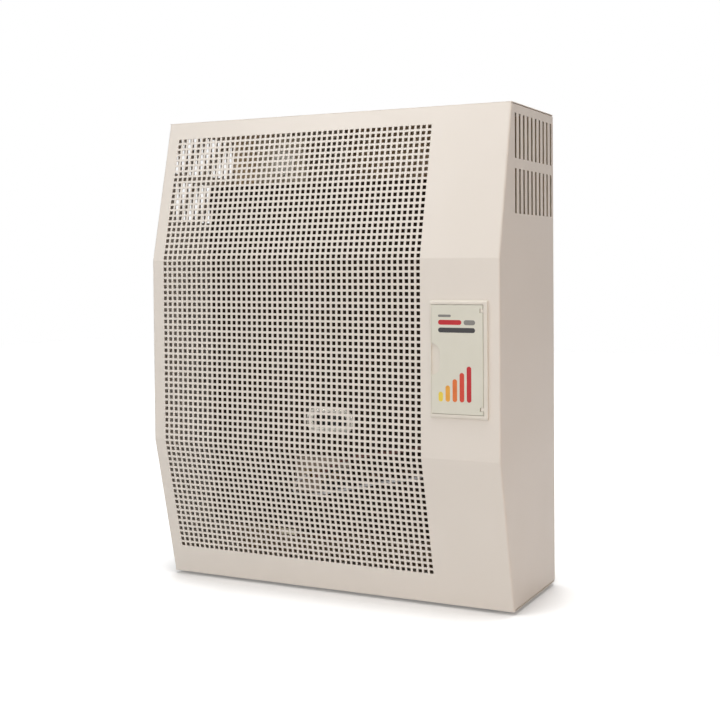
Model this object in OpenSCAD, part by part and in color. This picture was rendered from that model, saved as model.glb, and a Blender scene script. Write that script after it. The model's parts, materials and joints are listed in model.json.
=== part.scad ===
// Wall mounted gas heater.
// Frame: +Z up, the wall is the plane y = 0, the front faces -Y, the origin is the middle of the casing on the wall.

/* [Casing] */
// Width of the casing
case_w = 514; // [450:1:620]
// Height of the casing
case_h = 635; // [530:1:780]
// Height of the upright middle facet of the front
mid_h = 248; // [200:8:320]
// Depth of the casing at its top and bottom edges
edge_depth = 160; // [150:1:200]
// How far the middle facet stands out past the edges
bulge = 45; // [20:1:60]
// Thickness of the casing's sheet
sheet = 1; // [0.8:0.1:1.5]
// Dark seam between a side panel and the top or bottom panel
seam = 0.8; // [0.4:0.1:1.2]

/* [Grille] */
// Side of a square hole
hole = 5; // [3:0.5:6]
// Distance from one hole to the next
pitch = 8; // [7:0.5:10]
// Holes that are joined side by side into one slot
holes_per_slot = 7; // [7, 49]
// Blank margin left of the holes
grille_left = 19; // [12:1:30]
// Blank strip right of the holes, which holds the hatch
control_strip = 106; // [100:1:130]
// Least blank margin above the holes
grille_top = 22; // [16:1:40]
// Least blank margin below the holes
grille_bottom = 38; // [16:1:60]

/* [Side slots] */
// Slots in a row
side_slots = 10; // [4:1:10]
// Width of a slot
side_slot_w = 7; // [4:0.5:8]
// Height of a slot
side_slot_h = 56; // [30:1:60]
// Distance from one slot to the next
side_slot_pitch = 15.2; // [12:0.1:16]
// Distance from the wall to the middle of the rearmost slot
side_slot_back = 9.4; // [8:0.1:14]
// Distance from the top of the casing to the upper row
side_slot_top = 13; // [12:1:30]
// Blank band between the two rows
side_slot_gap = 13; // [8:1:20]

/* [Hatch] */
// Width of the frame
frame_w = 76.5; // [74:0.5:84]
// Height of the frame
frame_h = 146; // [140:1:180]
// Distance from the casing's right edge to the frame
frame_margin = 15; // [10:1:20]
// How far the frame stands out from the front panel
frame_proud = 3.5; // [3:0.1:5]
// Width of the frame's hinge-side border
frame_hinge_border = 5.2; // [4.5:0.1:6]
// Width of the frame's opening-side border
frame_free_border = 1.7; // [1.5:0.1:3]
// Width of the frame's top and bottom borders
frame_end_border = 5.5; // [4:0.1:7]
// Gap round the door
door_gap = 0.55; // [0.4:0.05:0.8]
// Thickness of the door
door_t = 1.9; // [1.5:0.1:2.1]
// Height of the finger recess in the door's free edge
recess_h = 39; // [24:1:50]
// Width of the finger recess
recess_w = 11; // [8:1:14]

/* [Heat exchanger] */
// Gap from the casing's left edge to the exchanger
ex_gap_left = 64; // [50:1:80]
// Gap from the casing's right edge to the exchanger
ex_gap_right = 117; // [112:1:130]
// Gap from the casing's top to the exchanger
ex_gap_top = 92; // [90:1:110]
// Gap from the casing's bottom to the exchanger
ex_gap_bottom = 77; // [70:1:100]
// Gap from the middle facet to the exchanger's front
ex_gap_front = 41; // [36:1:50]
// Gap from the wall to the exchanger's back
ex_gap_back = 56; // [50:1:70]
// Thickness of the exchanger's sheet
ex_sheet = 1.5; // [1:0.1:2.5]

/* [Flue] */
// Bore of the exhaust spigot, which takes a 60 mm flue pipe
exhaust_bore = 60.4; // [50:0.1:64]
// Bore of the air collar, which takes a 100 mm air pipe
air_bore = 100.4; // [90:0.1:104]
// Wall of both spigots
spigot_wall = 1; // [0.8:0.1:1.5]
// Distance from the flue's axis to the middle of the casing, leftwards
flue_left = 100; // [60:1:120]

/* [Controls] */
// Diameter of the control knob
knob_d = 38; // [30:1:42]
// Travel of the control knob
knob_travel = 5; // [3:0.5:5]
// Diameter of the valve spindle
spindle_d = 8; // [6:0.5:9]
// Diameter of the piezo button
button_d = 11; // [8:0.5:11]
// Travel of the piezo button
button_travel = 7; // [4:0.5:7]

/* [Gas] */
// Outer diameter of the inlet's pipe thread, a half inch
inlet_d = 20.9; // [16:0.1:22]
// Outer diameter of the supply pipe to the burner
supply_d = 10; // [8:0.5:12]
// Diameter of the burner tube
burner_d = 28; // [22:1:32]

/* [Hidden] */
$fn = 48;

// Clearances
touch = 0.3;       // between pieces that nearly touch
running = 0.05;    // radial, round a shaft that turns or slides
snug = 0.06;       // radial, round a shaft that stays put
over = 1;          // how far a cutter runs past what it cuts

// Casing planes
right = case_w / 2;
left = -right;
top = case_h / 2;
bottom = -top;
front = -(edge_depth + bulge);
knee = mid_h / 2;
slope_rise = top - knee;
slope = atan(bulge / slope_rise);
slope_len = sqrt(pow(bulge, 2) + pow(slope_rise, 2));
slope_skin = sheet / cos(slope);
knee_in = knee - sheet * tan(slope / 2);
lid_z = top - sheet;
side_z = lid_z - seam;
flange = 12;
flange_leg = 10;

// Grille counts
cols = floor((case_w - grille_left - control_strip + pitch - hole) / pitch);
rows_mid = floor(mid_h / pitch);
rows_up = floor((slope_len - grille_top) / pitch);
rows_low = floor((slope_len - grille_bottom) / pitch);

// Rear panel
rear_t = 1.5;
rear_x = right - sheet - touch;
wall_hole_x = case_w / 2 - 57;
wall_hole_z = case_h / 2 - 67.5;
wall_hole_r = 3.5;
rear_face = -rear_t;

// Casing screws
screw_r = 1.75;
screw_head_r = 3.8;
screw_head_h = 1.8;
screw_side_x = right - sheet - flange / 2 - 1;
screw_side_y = [-40, -120];
screw_rear_x = [-180, 0, 180];
screw_rear_y = -14;

// Hatch
frame_x = right - frame_margin - frame_w / 2;
frame_l = frame_x - frame_w / 2;
frame_r = frame_x + frame_w / 2;
frame_front = front - frame_proud;
collar_wall = 2;
collar_back = front + 15;
collar_l = frame_l + 6;
collar_r = frame_r - frame_hinge_border + collar_wall;
well_r = frame_r - frame_hinge_border;
well_z = frame_h / 2 - frame_end_border;
collar_z = well_z + collar_wall;
ledge_w = 3;
door_l = frame_l + frame_free_border + door_gap;
door_z = well_z - door_gap;
hinge_r = 2.2;
hinge_x = well_r - touch - 0.1 - hinge_r;
hinge_y = frame_front + hinge_r;
pin_r = 1.2;
lug_z = door_z - 9;
lug_h = 4;
lug_r = hinge_r - touch;
pin_len = 16;
ledge_front = frame_front + door_t + touch;

// Heat exchanger
ex_l = left + ex_gap_left;
ex_r = right - ex_gap_right;
ex_t = top - ex_gap_top;
ex_b = bottom + ex_gap_bottom;
ex_front = front + ex_gap_front;
ex_back = -ex_gap_back;

// The four feet on the rear panel that carry the exchanger
foot_w = 20;
foot_t = 1.5;
foot_flange = 16;
foot_x = [ex_l + 8 + foot_w / 2, ex_r - 8 - foot_w / 2];
foot_level = [ex_b + 40, ex_t - 60];

// Flue
flue_x = -flue_left;
flue_z = top - air_bore / 2 - 9.3;
exhaust_r = exhaust_bore / 2;
collar_in = air_bore / 2;
hood_half = exhaust_r + 9.8;
hood_front = ex_back - 64;
hood_back = ex_back - 4;
hood_top = flue_z + exhaust_r + spigot_wall + 6;
cap_x = flue_x + 6;
cap_r = 17;
duct_half = collar_in + spigot_wall + 8.6;
duct_front = -40;
duct_t = 1;
duct_channel = 40;
duct_out_z = ex_b + 35;
duct_out_h = 40;

// Sight window
window_x = ex_l + 194.5;
window_z = ex_b + 150.5;
window_w = 70;
window_h = 32;
gasket_t = 1.5;
glass_t = 2;
window_front = ex_front - gasket_t - glass_t - 3;
window_screw_x = 31;

// Burner access plate and the probes through it
plate_x = ex_l + 182;
plate_z = ex_b + 77;
plate_w = 78;
plate_h = 48;
plate_t = 1.2;
plate_back = ex_front - gasket_t;
plate_front = plate_back - plate_t;
probe_x = [-19, 1, 21];
probe_r = [4, 3.5, 3];
nut_t = 5;

// The tubes at the plate bend in the room that the lower facet leaves: 1 at the drawn size
reach = (plate_front - face_y(plate_z - 30) - sheet) / 21.1;

// Burner
burner_z = ex_b + 40;
burner_y = ex_front + 54;
burner_r = burner_d / 2;

// Controls
ctrl_x = (collar_l + collar_wall + well_r) / 2;
ctrl_face = front + 29;
bracket_t = 1.5;
bracket_l = ctrl_x - 42;
bracket_r = ctrl_x + 34;
bracket_z = [-75, 62];
knob_z = -22;
knob_front = frame_front + door_t + 3.6;
knob_len = 20;
knob_back = knob_front + knob_len;
knob_r = knob_d / 2;
spring_pocket = 6;
boss_front = ctrl_face - 1.5;
boss_r = 11;
spindle_r = spindle_d / 2;
spindle_front = knob_front + 2 + knob_travel + 0.5;
valve_w = 56;
valve_z = [-72, 18];
valve_front = ctrl_face + bracket_t;
valve_depth = 60;
spindle_back = valve_front + 14;
valve_back = valve_front + valve_depth;
magnet_z = -20;
piezo_z = 34;
button_r = button_d / 2;
piezo_r = 8;
piezo_front = ctrl_face - 4;
shoulder_y = ctrl_face + 2;
button_flange = 3;
piezo_floor = 4;
piezo_back = shoulder_y + button_flange + button_travel + 10 + piezo_floor;
button_front = piezo_front - button_travel - 3;
piezo_bore = 6.8;
lead_y = piezo_back + 20;

// Gas pipes
inlet_x = ctrl_x + 14;
inlet_y = valve_front + 38;
inlet_end = bottom + 2.5;
inlet_thread = 18;
outlet_x = ctrl_x - 14;
outlet_y = valve_front + 18;
pilot_x = ctrl_x - 16;
pilot_y = valve_front + 48;
port_z = valve_z[0] - 8;

// Thermostat
bulb_r = 5;
bulb_l = ex_l + 113;
bulb_len = 90;
bulb_z = ex_b - 8;
bulb_y = ex_front + 12;
clip_x = ex_l + 125;

// Colours
cream = [0.90, 0.87, 0.82];
plastic = [0.88, 0.85, 0.80];
galvanised = [0.72, 0.73, 0.74];
black_steel = [0.10, 0.10, 0.10];
brass = [0.78, 0.64, 0.32];
copper = [0.76, 0.48, 0.33];
steel = [0.62, 0.62, 0.64];

// ---------- Shapes that repeat ----------

module box(low, high) {
    translate(low) cube(high - low);
}

// A profile drawn in (y, z) and drawn out along X from x0 to x1
module span_x(x0, x1) {
    translate([x0, 0, 0]) rotate([90, 0, 90]) linear_extrude(x1 - x0) children();
}

// A profile drawn in (x, z) and drawn out along Y from y0 to y1
module span_y(y0, y1) {
    translate([0, y1, 0]) rotate([90, 0, 0]) linear_extrude(y1 - y0) children();
}

module rod_x(r, x0, x1) {
    translate([x0, 0, 0]) rotate([0, 90, 0]) cylinder(r = r, h = x1 - x0);
}

module rod_y(r, y0, y1) {
    translate([0, y1, 0]) rotate([90, 0, 0]) cylinder(r = r, h = y1 - y0);
}

module rod_z(r, z0, z1) {
    translate([0, 0, z0]) cylinder(r = r, h = z1 - z0);
}

// Outline of a rectangle with round corners
function round_rect(w, h, r, n = 6) = [
    for (c = [0:3], i = [0:n])
        let (a = 90 * c + 90 * i / n, sx = (c == 0 || c == 3) ? 1 : -1, sy = c < 2 ? 1 : -1)
            [sx * (w / 2 - r) + r * cos(a), sy * (h / 2 - r) + r * sin(a)]
];

module rounded(w, h, r) {
    polygon(round_rect(w, h, r));
}

// A pan-head screw along +Y, its head in front of y = 0
module pan_screw(r, length, head_r, head_h) {
    rod_y(r, 0, length);
    rod_y(head_r, -head_h, 0);
}

// A hexagon nut along Y with a bore
module hex_nut(across_flats, bore_r, y0, y1) {
    difference() {
        translate([0, y1, 0]) rotate([90, 0, 0]) cylinder(d = across_flats / cos(30), h = y1 - y0, $fn = 6);
        rod_y(bore_r, y0 - over, y1 + over);
    }
}

function unit(v) = v / norm(v);

// A smooth line through chosen points, straight between the first two and between the last two
function curve_at(a, b, c, d, u) =
    0.5 * (2 * b + (c - a) * u + (2 * a - 5 * b + 4 * c - d) * u * u + (3 * b - a - 3 * c + d) * u * u * u);

function smooth(p, steps = 5) = let (n = len(p)) [
    p[0],
    for (i = [1:n - 3], s = [0:steps - 1]) curve_at(p[i - 1], p[i], p[i + 1], p[i + 2], s / steps),
    p[n - 2],
    p[n - 1]
];

// A round tube along a line; ref is a direction that the line never follows
module tube(path, r, ref, sides = 8) {
    n = len(path);
    points = [
        for (i = [0:n - 1])
            let (t = unit(path[min(i + 1, n - 1)] - path[max(i - 1, 0)]), u = unit(cross(t, ref)), v = cross(u, t))
                for (k = [0:sides - 1]) path[i] + r * (cos(360 * k / sides) * u + sin(360 * k / sides) * v)
    ];
    sides_faces = [
        for (i = [0:n - 2], k = [0:sides - 1])
            let (k2 = (k + 1) % sides)
                each [[i * sides + k, i * sides + k2, (i + 1) * sides + k2],
                      [i * sides + k, (i + 1) * sides + k2, (i + 1) * sides + k]]
    ];
    start = [for (k = [1:sides - 2]) [0, k + 1, k]];
    end = [for (k = [1:sides - 2]) [(n - 1) * sides, (n - 1) * sides + k, (n - 1) * sides + k + 1]];
    polyhedron(points, concat(sides_faces, start, end));
}

// A coil spring round the Y axis, from y0 to y1
module coil_spring(r, wire_r, y0, y1, turns) {
    steps = 12;
    tube([for (i = [0:turns * steps])
            let (a = 360 * i / steps)
                [r * cos(a), y0 + wire_r + (y1 - y0 - 2 * wire_r) * i / (turns * steps), r * sin(a)]],
         wire_r, [0, 1, 0], 6);
}

// ---------- Casing ----------

// Outer face of the front panel at height z
function face_y(z) = front + bulge * max(0, abs(z) - knee) / slope_rise;

module front_outline() {
    lid_y = face_y(lid_z);
    polygon([
        [lid_y, -lid_z], [front, -knee], [front, knee], [lid_y, lid_z],
        [lid_y + slope_skin, lid_z], [front + sheet, knee_in], [front + sheet, -knee_in], [lid_y + slope_skin, -lid_z]
    ]);
}

// Rows of slots, drawn flat from the bend upwards
module slot_rows(rows, first) {
    for (row = [0:rows - 1], group = [0:ceil(cols / holes_per_slot) - 1]) {
        count = min(holes_per_slot, cols - group * holes_per_slot);
        translate([left + grille_left + group * holes_per_slot * pitch, first + row * pitch])
            square([(count - 1) * pitch + hole, hole]);
    }
}

module slope_slots(rows) {
    translate([0, front, knee]) rotate([-slope, 0, 0]) span_y(-over, sheet + over)
        slot_rows(rows, (pitch - hole) / 2);
}

module front_panel() {
    color(cream) difference() {
        span_x(left, right) front_outline();
        translate([0, 0, -knee]) span_y(front - over, front + sheet + over)
            slot_rows(rows_mid, (mid_h - rows_mid * pitch + pitch - hole) / 2);
        slope_slots(rows_up);
        mirror([0, 0, 1]) slope_slots(rows_low);
        box([collar_l - 0.5, front - over, -collar_z - 0.5], [collar_r + 0.5, front + sheet + over, collar_z + 0.5]);
    }
}

module side_panel() {
    edge_y = face_y(side_z) + slope_skin;
    difference() {
        union() {
            span_x(right - sheet, right) polygon([
                [edge_y, -side_z], [front + sheet, -knee_in], [front + sheet, knee_in], [edge_y, side_z],
                [0, side_z], [0, -side_z]
            ]);
            for (m = [0, 1]) mirror([0, 0, m]) {
                box([right - 2 * sheet, 2 - edge_depth, lid_z - flange_leg], [right - sheet, -2, lid_z]);
                box([right - sheet - flange, 2 - edge_depth, lid_z - sheet], [right - sheet, -2, lid_z]);
            }
        }
        for (i = [0:side_slots - 1], row = [0, 1]) {
            y = -side_slot_back - i * side_slot_pitch;
            z = top - side_slot_top - row * (side_slot_h + side_slot_gap);
            box([right - 2 * sheet - over, y - side_slot_w / 2, z - side_slot_h],
                [right + over, y + side_slot_w / 2, z]);
        }
        for (y = screw_side_y) translate([screw_side_x, y, 0]) rod_z(screw_r + snug, bottom - over, bottom + 5);
    }
}

module side_panel_right() {
    color(cream) side_panel();
}

module side_panel_left() {
    color(cream) mirror([1, 0, 0]) side_panel();
}

module top_panel() {
    color(cream) box([left, -edge_depth, lid_z], [right, 0, top]);
}

module bottom_panel() {
    slot_w = 6;
    slot_pitch = 26;
    slots = 7;
    color(cream) difference() {
        box([left, -edge_depth, bottom], [right, 0, -lid_z]);
        for (i = [-slots:slots])
            box([i * slot_pitch - slot_w / 2, -edge_depth + 24, bottom - over],
                [i * slot_pitch + slot_w / 2, -30, bottom + sheet + over]);
        translate([inlet_x, inlet_y, 0]) rod_z(inlet_d / 2 + 6, bottom - over, bottom + sheet + over);
        screw_places() rod_z(screw_r + 0.2, bottom - over, bottom + sheet + over);
    }
}

// Where the casing screws go
module screw_places() {
    for (x = screw_rear_x) translate([x, screw_rear_y, 0]) children();
    for (side = [-1, 1], y = screw_side_y) translate([side * screw_side_x, y, 0]) children();
}

module casing_screws() {
    color(steel) screw_places() {
        rod_z(screw_r, bottom, bottom + 6);
        rod_z(screw_head_r, bottom - screw_head_h, bottom);
    }
}

module rear_panel() {
    lip = right - 17;
    color(galvanised) difference() {
        union() {
            box([-rear_x, rear_face, -lid_z], [rear_x, 0, lid_z]);
            box([-lip, -14, lid_z - rear_t], [lip, rear_face, lid_z]);
            box([-lip, -24, -lid_z], [lip, rear_face, rear_t - lid_z]);
            for (m = [0, 1]) mirror([m, 0, 0])
                box([rear_x - rear_t, -17, bottom + 30], [rear_x, rear_face, top - 175]);
        }
        for (x = [-wall_hole_x, wall_hole_x], z = [-wall_hole_z, wall_hole_z])
            translate([x, 0, z]) rod_y(wall_hole_r, rear_face - over, over);
        translate([flue_x, 0, flue_z]) rod_y(collar_in + spigot_wall + 0.1, rear_face - over, over);
        bracket_places() rod_y(screw_r + snug, rear_face - over, over);
        for (x = screw_rear_x) translate([x, screw_rear_y, 0]) rod_z(screw_r + snug, -lid_z - over, -lid_z + 5);
    }
}

// ---------- Hatch ----------

// The finger recess: a D whose flat side is the door's free edge
module recess_outline(grow) {
    r = recess_w + grow;
    half = recess_h / 2 + grow;
    intersection() {
        polygon(round_rect(2 * r, 2 * half, min(r, half) - 0.1));
        translate([0, -half - over]) square([r + over, 2 * (half + over)]);
    }
}

module hatch_frame() {
    opening_l = collar_l + collar_wall;
    color(plastic) difference() {
        union() {
            box([frame_l, frame_front, -frame_h / 2], [frame_r, front, frame_h / 2]);
            box([collar_l, front - 0.1, -collar_z], [collar_r, collar_back, collar_z]);
        }
        box([frame_l + frame_free_border, frame_front - over, -well_z], [well_r, ledge_front, well_z]);
        difference() {
            box([opening_l, frame_front - over, ledge_w - well_z], [well_r, collar_back + over, well_z - ledge_w]);
            box([opening_l - over, ledge_front, -recess_h / 2 - 3],
                [door_l + recess_w + 2, front, recess_h / 2 + 3]);
        }
        box([opening_l, front, -well_z], [well_r, collar_back + over, well_z]);
        box([hinge_x - hinge_r - touch - 0.2, frame_front - over, -well_z],
            [well_r, hinge_y + hinge_r + touch, well_z]);
    }
    color(plastic) for (m = [0, 1]) mirror([0, 0, m]) difference() {
        union() {
            translate([hinge_x, hinge_y, 0]) rod_z(lug_r, lug_z, lug_z + lug_h);
            box([hinge_x, hinge_y - lug_r + 0.4, lug_z], [well_r + 0.5, hinge_y + lug_r - 0.4, lug_z + lug_h]);
        }
        translate([hinge_x, hinge_y, 0]) rod_z(pin_r + snug, lug_z - over, lug_z + lug_h + over);
    }
}

module hatch_door() {
    notch = touch + 0.1;
    color(plastic) difference() {
        union() {
            box([door_l, frame_front, -door_z], [hinge_x, frame_front + door_t, door_z]);
            translate([hinge_x, hinge_y, 0]) rod_z(hinge_r, -door_z, door_z);
            box([frame_l + 23, frame_front + 0.3, door_z - over], [frame_l + 31, frame_front + 1.5, door_z + 0.4]);
        }
        translate([door_l, 0, 0]) span_y(frame_front - over, frame_front + door_t + over) recess_outline(0);
        for (m = [0, 1]) mirror([0, 0, m]) {
            box([hinge_x - lug_r - 0.5, frame_front - over, lug_z - notch],
                [hinge_x + hinge_r + over, hinge_y + hinge_r + over, lug_z + lug_h + notch]);
            translate([hinge_x, hinge_y, 0]) rod_z(pin_r + running, lug_z - 8, door_z + over);
        }
    }
}

module hatch_hinge_pins() {
    color(steel) for (m = [0, 1]) mirror([0, 0, m])
        translate([hinge_x, hinge_y, 0]) rod_z(pin_r, lug_z - 7.5, lug_z - 7.5 + pin_len);
}

// ---------- Combustion chamber and flue ----------

module heat_exchanger() {
    x = (ex_l + ex_r) / 2;
    w = ex_r - ex_l;
    d = ex_back - ex_front;
    corner = 8;
    color(black_steel) difference() {
        translate([x, (ex_front + ex_back) / 2, ex_b]) linear_extrude(ex_t - ex_b) rounded(w, d, corner);
        translate([x, (ex_front + ex_back) / 2, ex_b + ex_sheet]) linear_extrude(ex_t - ex_b - 2 * ex_sheet)
            rounded(w - 2 * ex_sheet, d - 2 * ex_sheet, corner - ex_sheet);
        translate([window_x, 0, window_z]) span_y(ex_front - over, ex_front + ex_sheet + over) rounded(window_w - 20, 15, 6);
        for (s = [-1, 1]) translate([window_x + s * window_screw_x, 0, window_z])
            rod_y(1.5 + snug, ex_front - over, ex_front + ex_sheet + over);
        translate([plate_x, 0, plate_z]) span_y(ex_front - over, ex_front + ex_sheet + over)
            square([plate_w - 22, plate_h - 20], center = true);
        plate_screw_places() rod_y(screw_r + snug, ex_front - over, ex_front + ex_sheet + over);
        box([flue_x - 24, hood_front + 8, ex_t - ex_sheet - over], [flue_x + 24, hood_back - 8, ex_t + over]);
        box([flue_x - duct_channel + 2, ex_back - ex_sheet - over, duct_out_z - duct_out_h / 2 + 2],
            [flue_x + duct_channel - 2, ex_back + over, duct_out_z + duct_out_h / 2 - 2]);
        translate([0, burner_y, burner_z]) rod_x(burner_r + snug, ex_r - ex_sheet - over, ex_r + over);
    }
}

module heat_shield() {
    shield_front = ex_back + 10;
    shield_t = 0.8;
    x0 = ex_l + 33;
    x1 = ex_r - 30;
    z0 = duct_out_z + duct_out_h / 2 + 16;
    z1 = flue_z - duct_half - 8;
    leg_w = 14;
    color(galvanised) {
        box([x0, shield_front, z0], [x1, shield_front + shield_t, z1]);
        for (x = [x0 + 2, x1 - leg_w - 2], z = [z0 + 5, z1 - 6]) {
            box([x, shield_front, z], [x + leg_w, rear_face, z + 1]);
            box([x, rear_face - 1, z], [x + leg_w, rear_face, z + 12]);
        }
    }
}

module bracket_places() {
    for (x = foot_x, z = foot_level) translate([x, 0, z + foot_flange / 2 + 1]) children();
}

module exchanger_brackets() {
    color(galvanised) difference() {
        for (x = foot_x, z = foot_level) {
            box([x - foot_w / 2, ex_back, z], [x + foot_w / 2, rear_face, z + foot_t]);
            for (y = [ex_back, rear_face - foot_t])
                box([x - foot_w / 2, y, z], [x + foot_w / 2, y + foot_t, z + foot_flange]);
        }
        bracket_places() rod_y(screw_r + 0.1, rear_face - foot_t - over, rear_face + over);
    }
}

module bracket_screws() {
    color(steel) bracket_places() translate([0, rear_face - foot_t, 0])
        pan_screw(screw_r, foot_t - rear_face, screw_head_r, screw_head_h);
}

module flue_hood() {
    color(galvanised) difference() {
        box([flue_x - hood_half, hood_front, ex_t], [flue_x + hood_half, hood_back, hood_top]);
        box([flue_x - hood_half + ex_sheet, hood_front + ex_sheet, ex_t - over],
            [flue_x + hood_half - ex_sheet, hood_back - ex_sheet, hood_top - ex_sheet]);
        translate([flue_x, 0, flue_z]) rod_y(exhaust_r + spigot_wall + snug, hood_back - ex_sheet - over, 0);
        translate([cap_x, 0, flue_z]) rod_y(cap_r - 5, hood_front - over, hood_front + ex_sheet + over);
    }
}

module inspection_cap() {
    color(galvanised) translate([cap_x, 0, flue_z]) {
        rod_y(cap_r, hood_front - 2.5, hood_front);
        difference() {
            rod_y(cap_r - 5 - snug, hood_front - 1, hood_front + 6);
            rod_y(cap_r - 7, hood_front - 1 + 2, hood_front + 6 + over);
        }
    }
}

module exhaust_spigot() {
    color(galvanised) translate([flue_x, 0, flue_z]) difference() {
        rod_y(exhaust_r + spigot_wall, hood_back - ex_sheet, 0);
        rod_y(exhaust_r, hood_back - ex_sheet - over, over);
    }
}

module air_intake_collar() {
    collar_len = 16;
    color(galvanised) translate([flue_x, 0, flue_z]) difference() {
        union() {
            rod_y(collar_in + spigot_wall, -collar_len, 0);
            rod_y(collar_in + spigot_wall + 4, rear_face - 1.5, rear_face);
        }
        rod_y(collar_in, -collar_len - over, over);
    }
}

// Upper box round the collar, channel behind the exchanger, and outlet into its back
module duct_form(inset) {
    back = inset > 0 ? over : 0;
    box([flue_x - duct_half + inset, duct_front + inset, flue_z - duct_half + inset],
        [flue_x + duct_half - inset, rear_face + back, lid_z - 2 - inset]);
    box([flue_x - duct_channel + inset, duct_front + inset, duct_out_z - duct_out_h / 2 + inset],
        [flue_x + duct_channel - inset, rear_face + back, flue_z - duct_half + inset + 2]);
    box([flue_x - duct_channel + inset, ex_back - back, duct_out_z - duct_out_h / 2 + inset],
        [flue_x + duct_channel - inset, duct_front + 2 * inset, duct_out_z + duct_out_h / 2 - inset]);
}

module air_duct() {
    color(galvanised) difference() {
        duct_form(0);
        duct_form(duct_t);
        translate([flue_x, 0, flue_z])
            rod_y(exhaust_r + spigot_wall + snug, duct_front - over, duct_front + duct_t + over);
    }
}

// ---------- Sight window ----------

module sight_window_frame() {
    color([0.8, 0.8, 0.8]) translate([window_x, 0, window_z]) difference() {
        span_y(window_front, ex_front - gasket_t) rounded(window_w, window_h, 12);
        span_y(window_front - over, ex_front) rounded(window_w - 20, 15, 6);
        span_y(ex_front - gasket_t - glass_t, ex_front) rounded(window_w - 12, 22, 8);
        for (s = [-1, 1]) translate([s * window_screw_x, 0, 0]) rod_y(1.5 + snug, window_front - over, ex_front);
    }
}

module sight_glass() {
    color([0.25, 0.28, 0.3]) translate([window_x, 0, window_z])
        span_y(ex_front - gasket_t - glass_t, ex_front - gasket_t) rounded(window_w - 12.4, 21.6, 8);
}

module sight_gasket() {
    color([0.85, 0.85, 0.82]) translate([window_x, 0, window_z]) difference() {
        span_y(ex_front - gasket_t, ex_front) rounded(window_w - 1, window_h - 1, 12);
        span_y(ex_front - gasket_t - over, ex_front + over) rounded(window_w - 20, 15, 6);
        for (s = [-1, 1]) translate([s * window_screw_x, 0, 0])
            rod_y(1.5 + snug, ex_front - gasket_t - over, ex_front + over);
    }
}

module sight_window_screws() {
    color(steel) for (s = [-1, 1]) translate([window_x + s * window_screw_x, window_front, window_z])
        pan_screw(1.5, ex_front + ex_sheet + 2 - window_front, 2.8, 1.6);
}

// ---------- Burner access plate and probes ----------

module plate_screw_places() {
    for (x = [-1, 1], z = [-1, 1])
        translate([plate_x + x * (plate_w / 2 - 5.5), 0, plate_z + z * (plate_h / 2 - 5)]) children();
}

module probe_places() {
    for (i = [0:2]) translate([plate_x + probe_x[i], 0, plate_z])
        rod_y(probe_r[i] + snug, plate_front - 3, ex_front + 3);
}

module burner_access_plate() {
    color(galvanised) difference() {
        union() {
            translate([plate_x, 0, plate_z]) span_y(plate_front, plate_back)
                square([plate_w, plate_h], center = true);
            box([plate_x - plate_w / 2, plate_front - 6, plate_z + plate_h / 2 - plate_t],
                [plate_x + plate_w / 2, plate_back, plate_z + plate_h / 2]);
            box([plate_x - plate_w / 2, plate_front - 6, plate_z - plate_h / 2],
                [plate_x - plate_w / 2 + plate_t, plate_back, plate_z + plate_h / 2]);
        }
        plate_screw_places() rod_y(screw_r + 0.1, plate_front - over, plate_back + over);
        probe_places();
    }
}

module access_plate_gasket() {
    color([0.85, 0.85, 0.82]) difference() {
        translate([plate_x, 0, plate_z]) span_y(plate_back, ex_front)
            square([plate_w - 1, plate_h - 1], center = true);
        translate([plate_x, 0, plate_z]) span_y(plate_back - over, ex_front + over)
            square([plate_w - 22, plate_h - 20], center = true);
        plate_screw_places() rod_y(screw_r + 0.1, plate_back - over, ex_front + over);
    }
}

module access_plate_screws() {
    color(steel) plate_screw_places() translate([0, plate_front, 0])
        pan_screw(screw_r, ex_front + ex_sheet + 2 - plate_front, 3.2, screw_head_h);
}

module pilot_burner() {
    tip = ex_front + 36;
    color(brass) translate([plate_x + probe_x[0], 0, plate_z]) {
        rod_y(probe_r[0], plate_front - 9 * reach, tip);
        translate([0, tip - probe_r[0], 0]) rod_z(probe_r[0], 0, 16);
    }
}

module ignition_electrode() {
    color([0.93, 0.92, 0.88]) translate([plate_x + probe_x[1], 0, plate_z]) {
        rod_y(probe_r[1], plate_front - 13 * reach, ex_front + 28);
        rod_y(1, ex_front + 27, ex_front + 38);
    }
}

module thermocouple() {
    start = [plate_x + probe_x[2], plate_front - 12 * reach, plate_z];
    color(copper) {
        translate([start[0], 0, start[2]]) rod_y(probe_r[2], start[1], ex_front + 38);
        tube(smooth([
            start + [0, 2, 0], start + [0, -5 * reach, 0], [plate_x + 34, plate_front - 17 * reach, plate_z + 2],
            [ex_r - 40, plate_front - 10 * reach, plate_z + 12], [ex_r + 3, plate_front - 6 * reach, plate_z + 24],
            [ex_r + 13, ex_front + 12, plate_z + 50], [ex_r + 14, valve_back - 20, bracket_z[0] - 20],
            [bracket_l + 6, valve_back + 12, bracket_z[0] - 12], [ctrl_x - 8, valve_back + 26, magnet_z - 24],
            [ctrl_x, valve_back + 20, magnet_z], [ctrl_x, valve_back + 10, magnet_z]
        ]), 1.3, [0.9, 0.1, 0.4]);
    }
}

module probe_nuts() {
    color(brass) for (i = [0:2]) translate([plate_x + probe_x[i], 0, plate_z])
        hex_nut(2 * probe_r[i] + 7, probe_r[i] + snug, plate_front - nut_t, plate_front);
}

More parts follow.
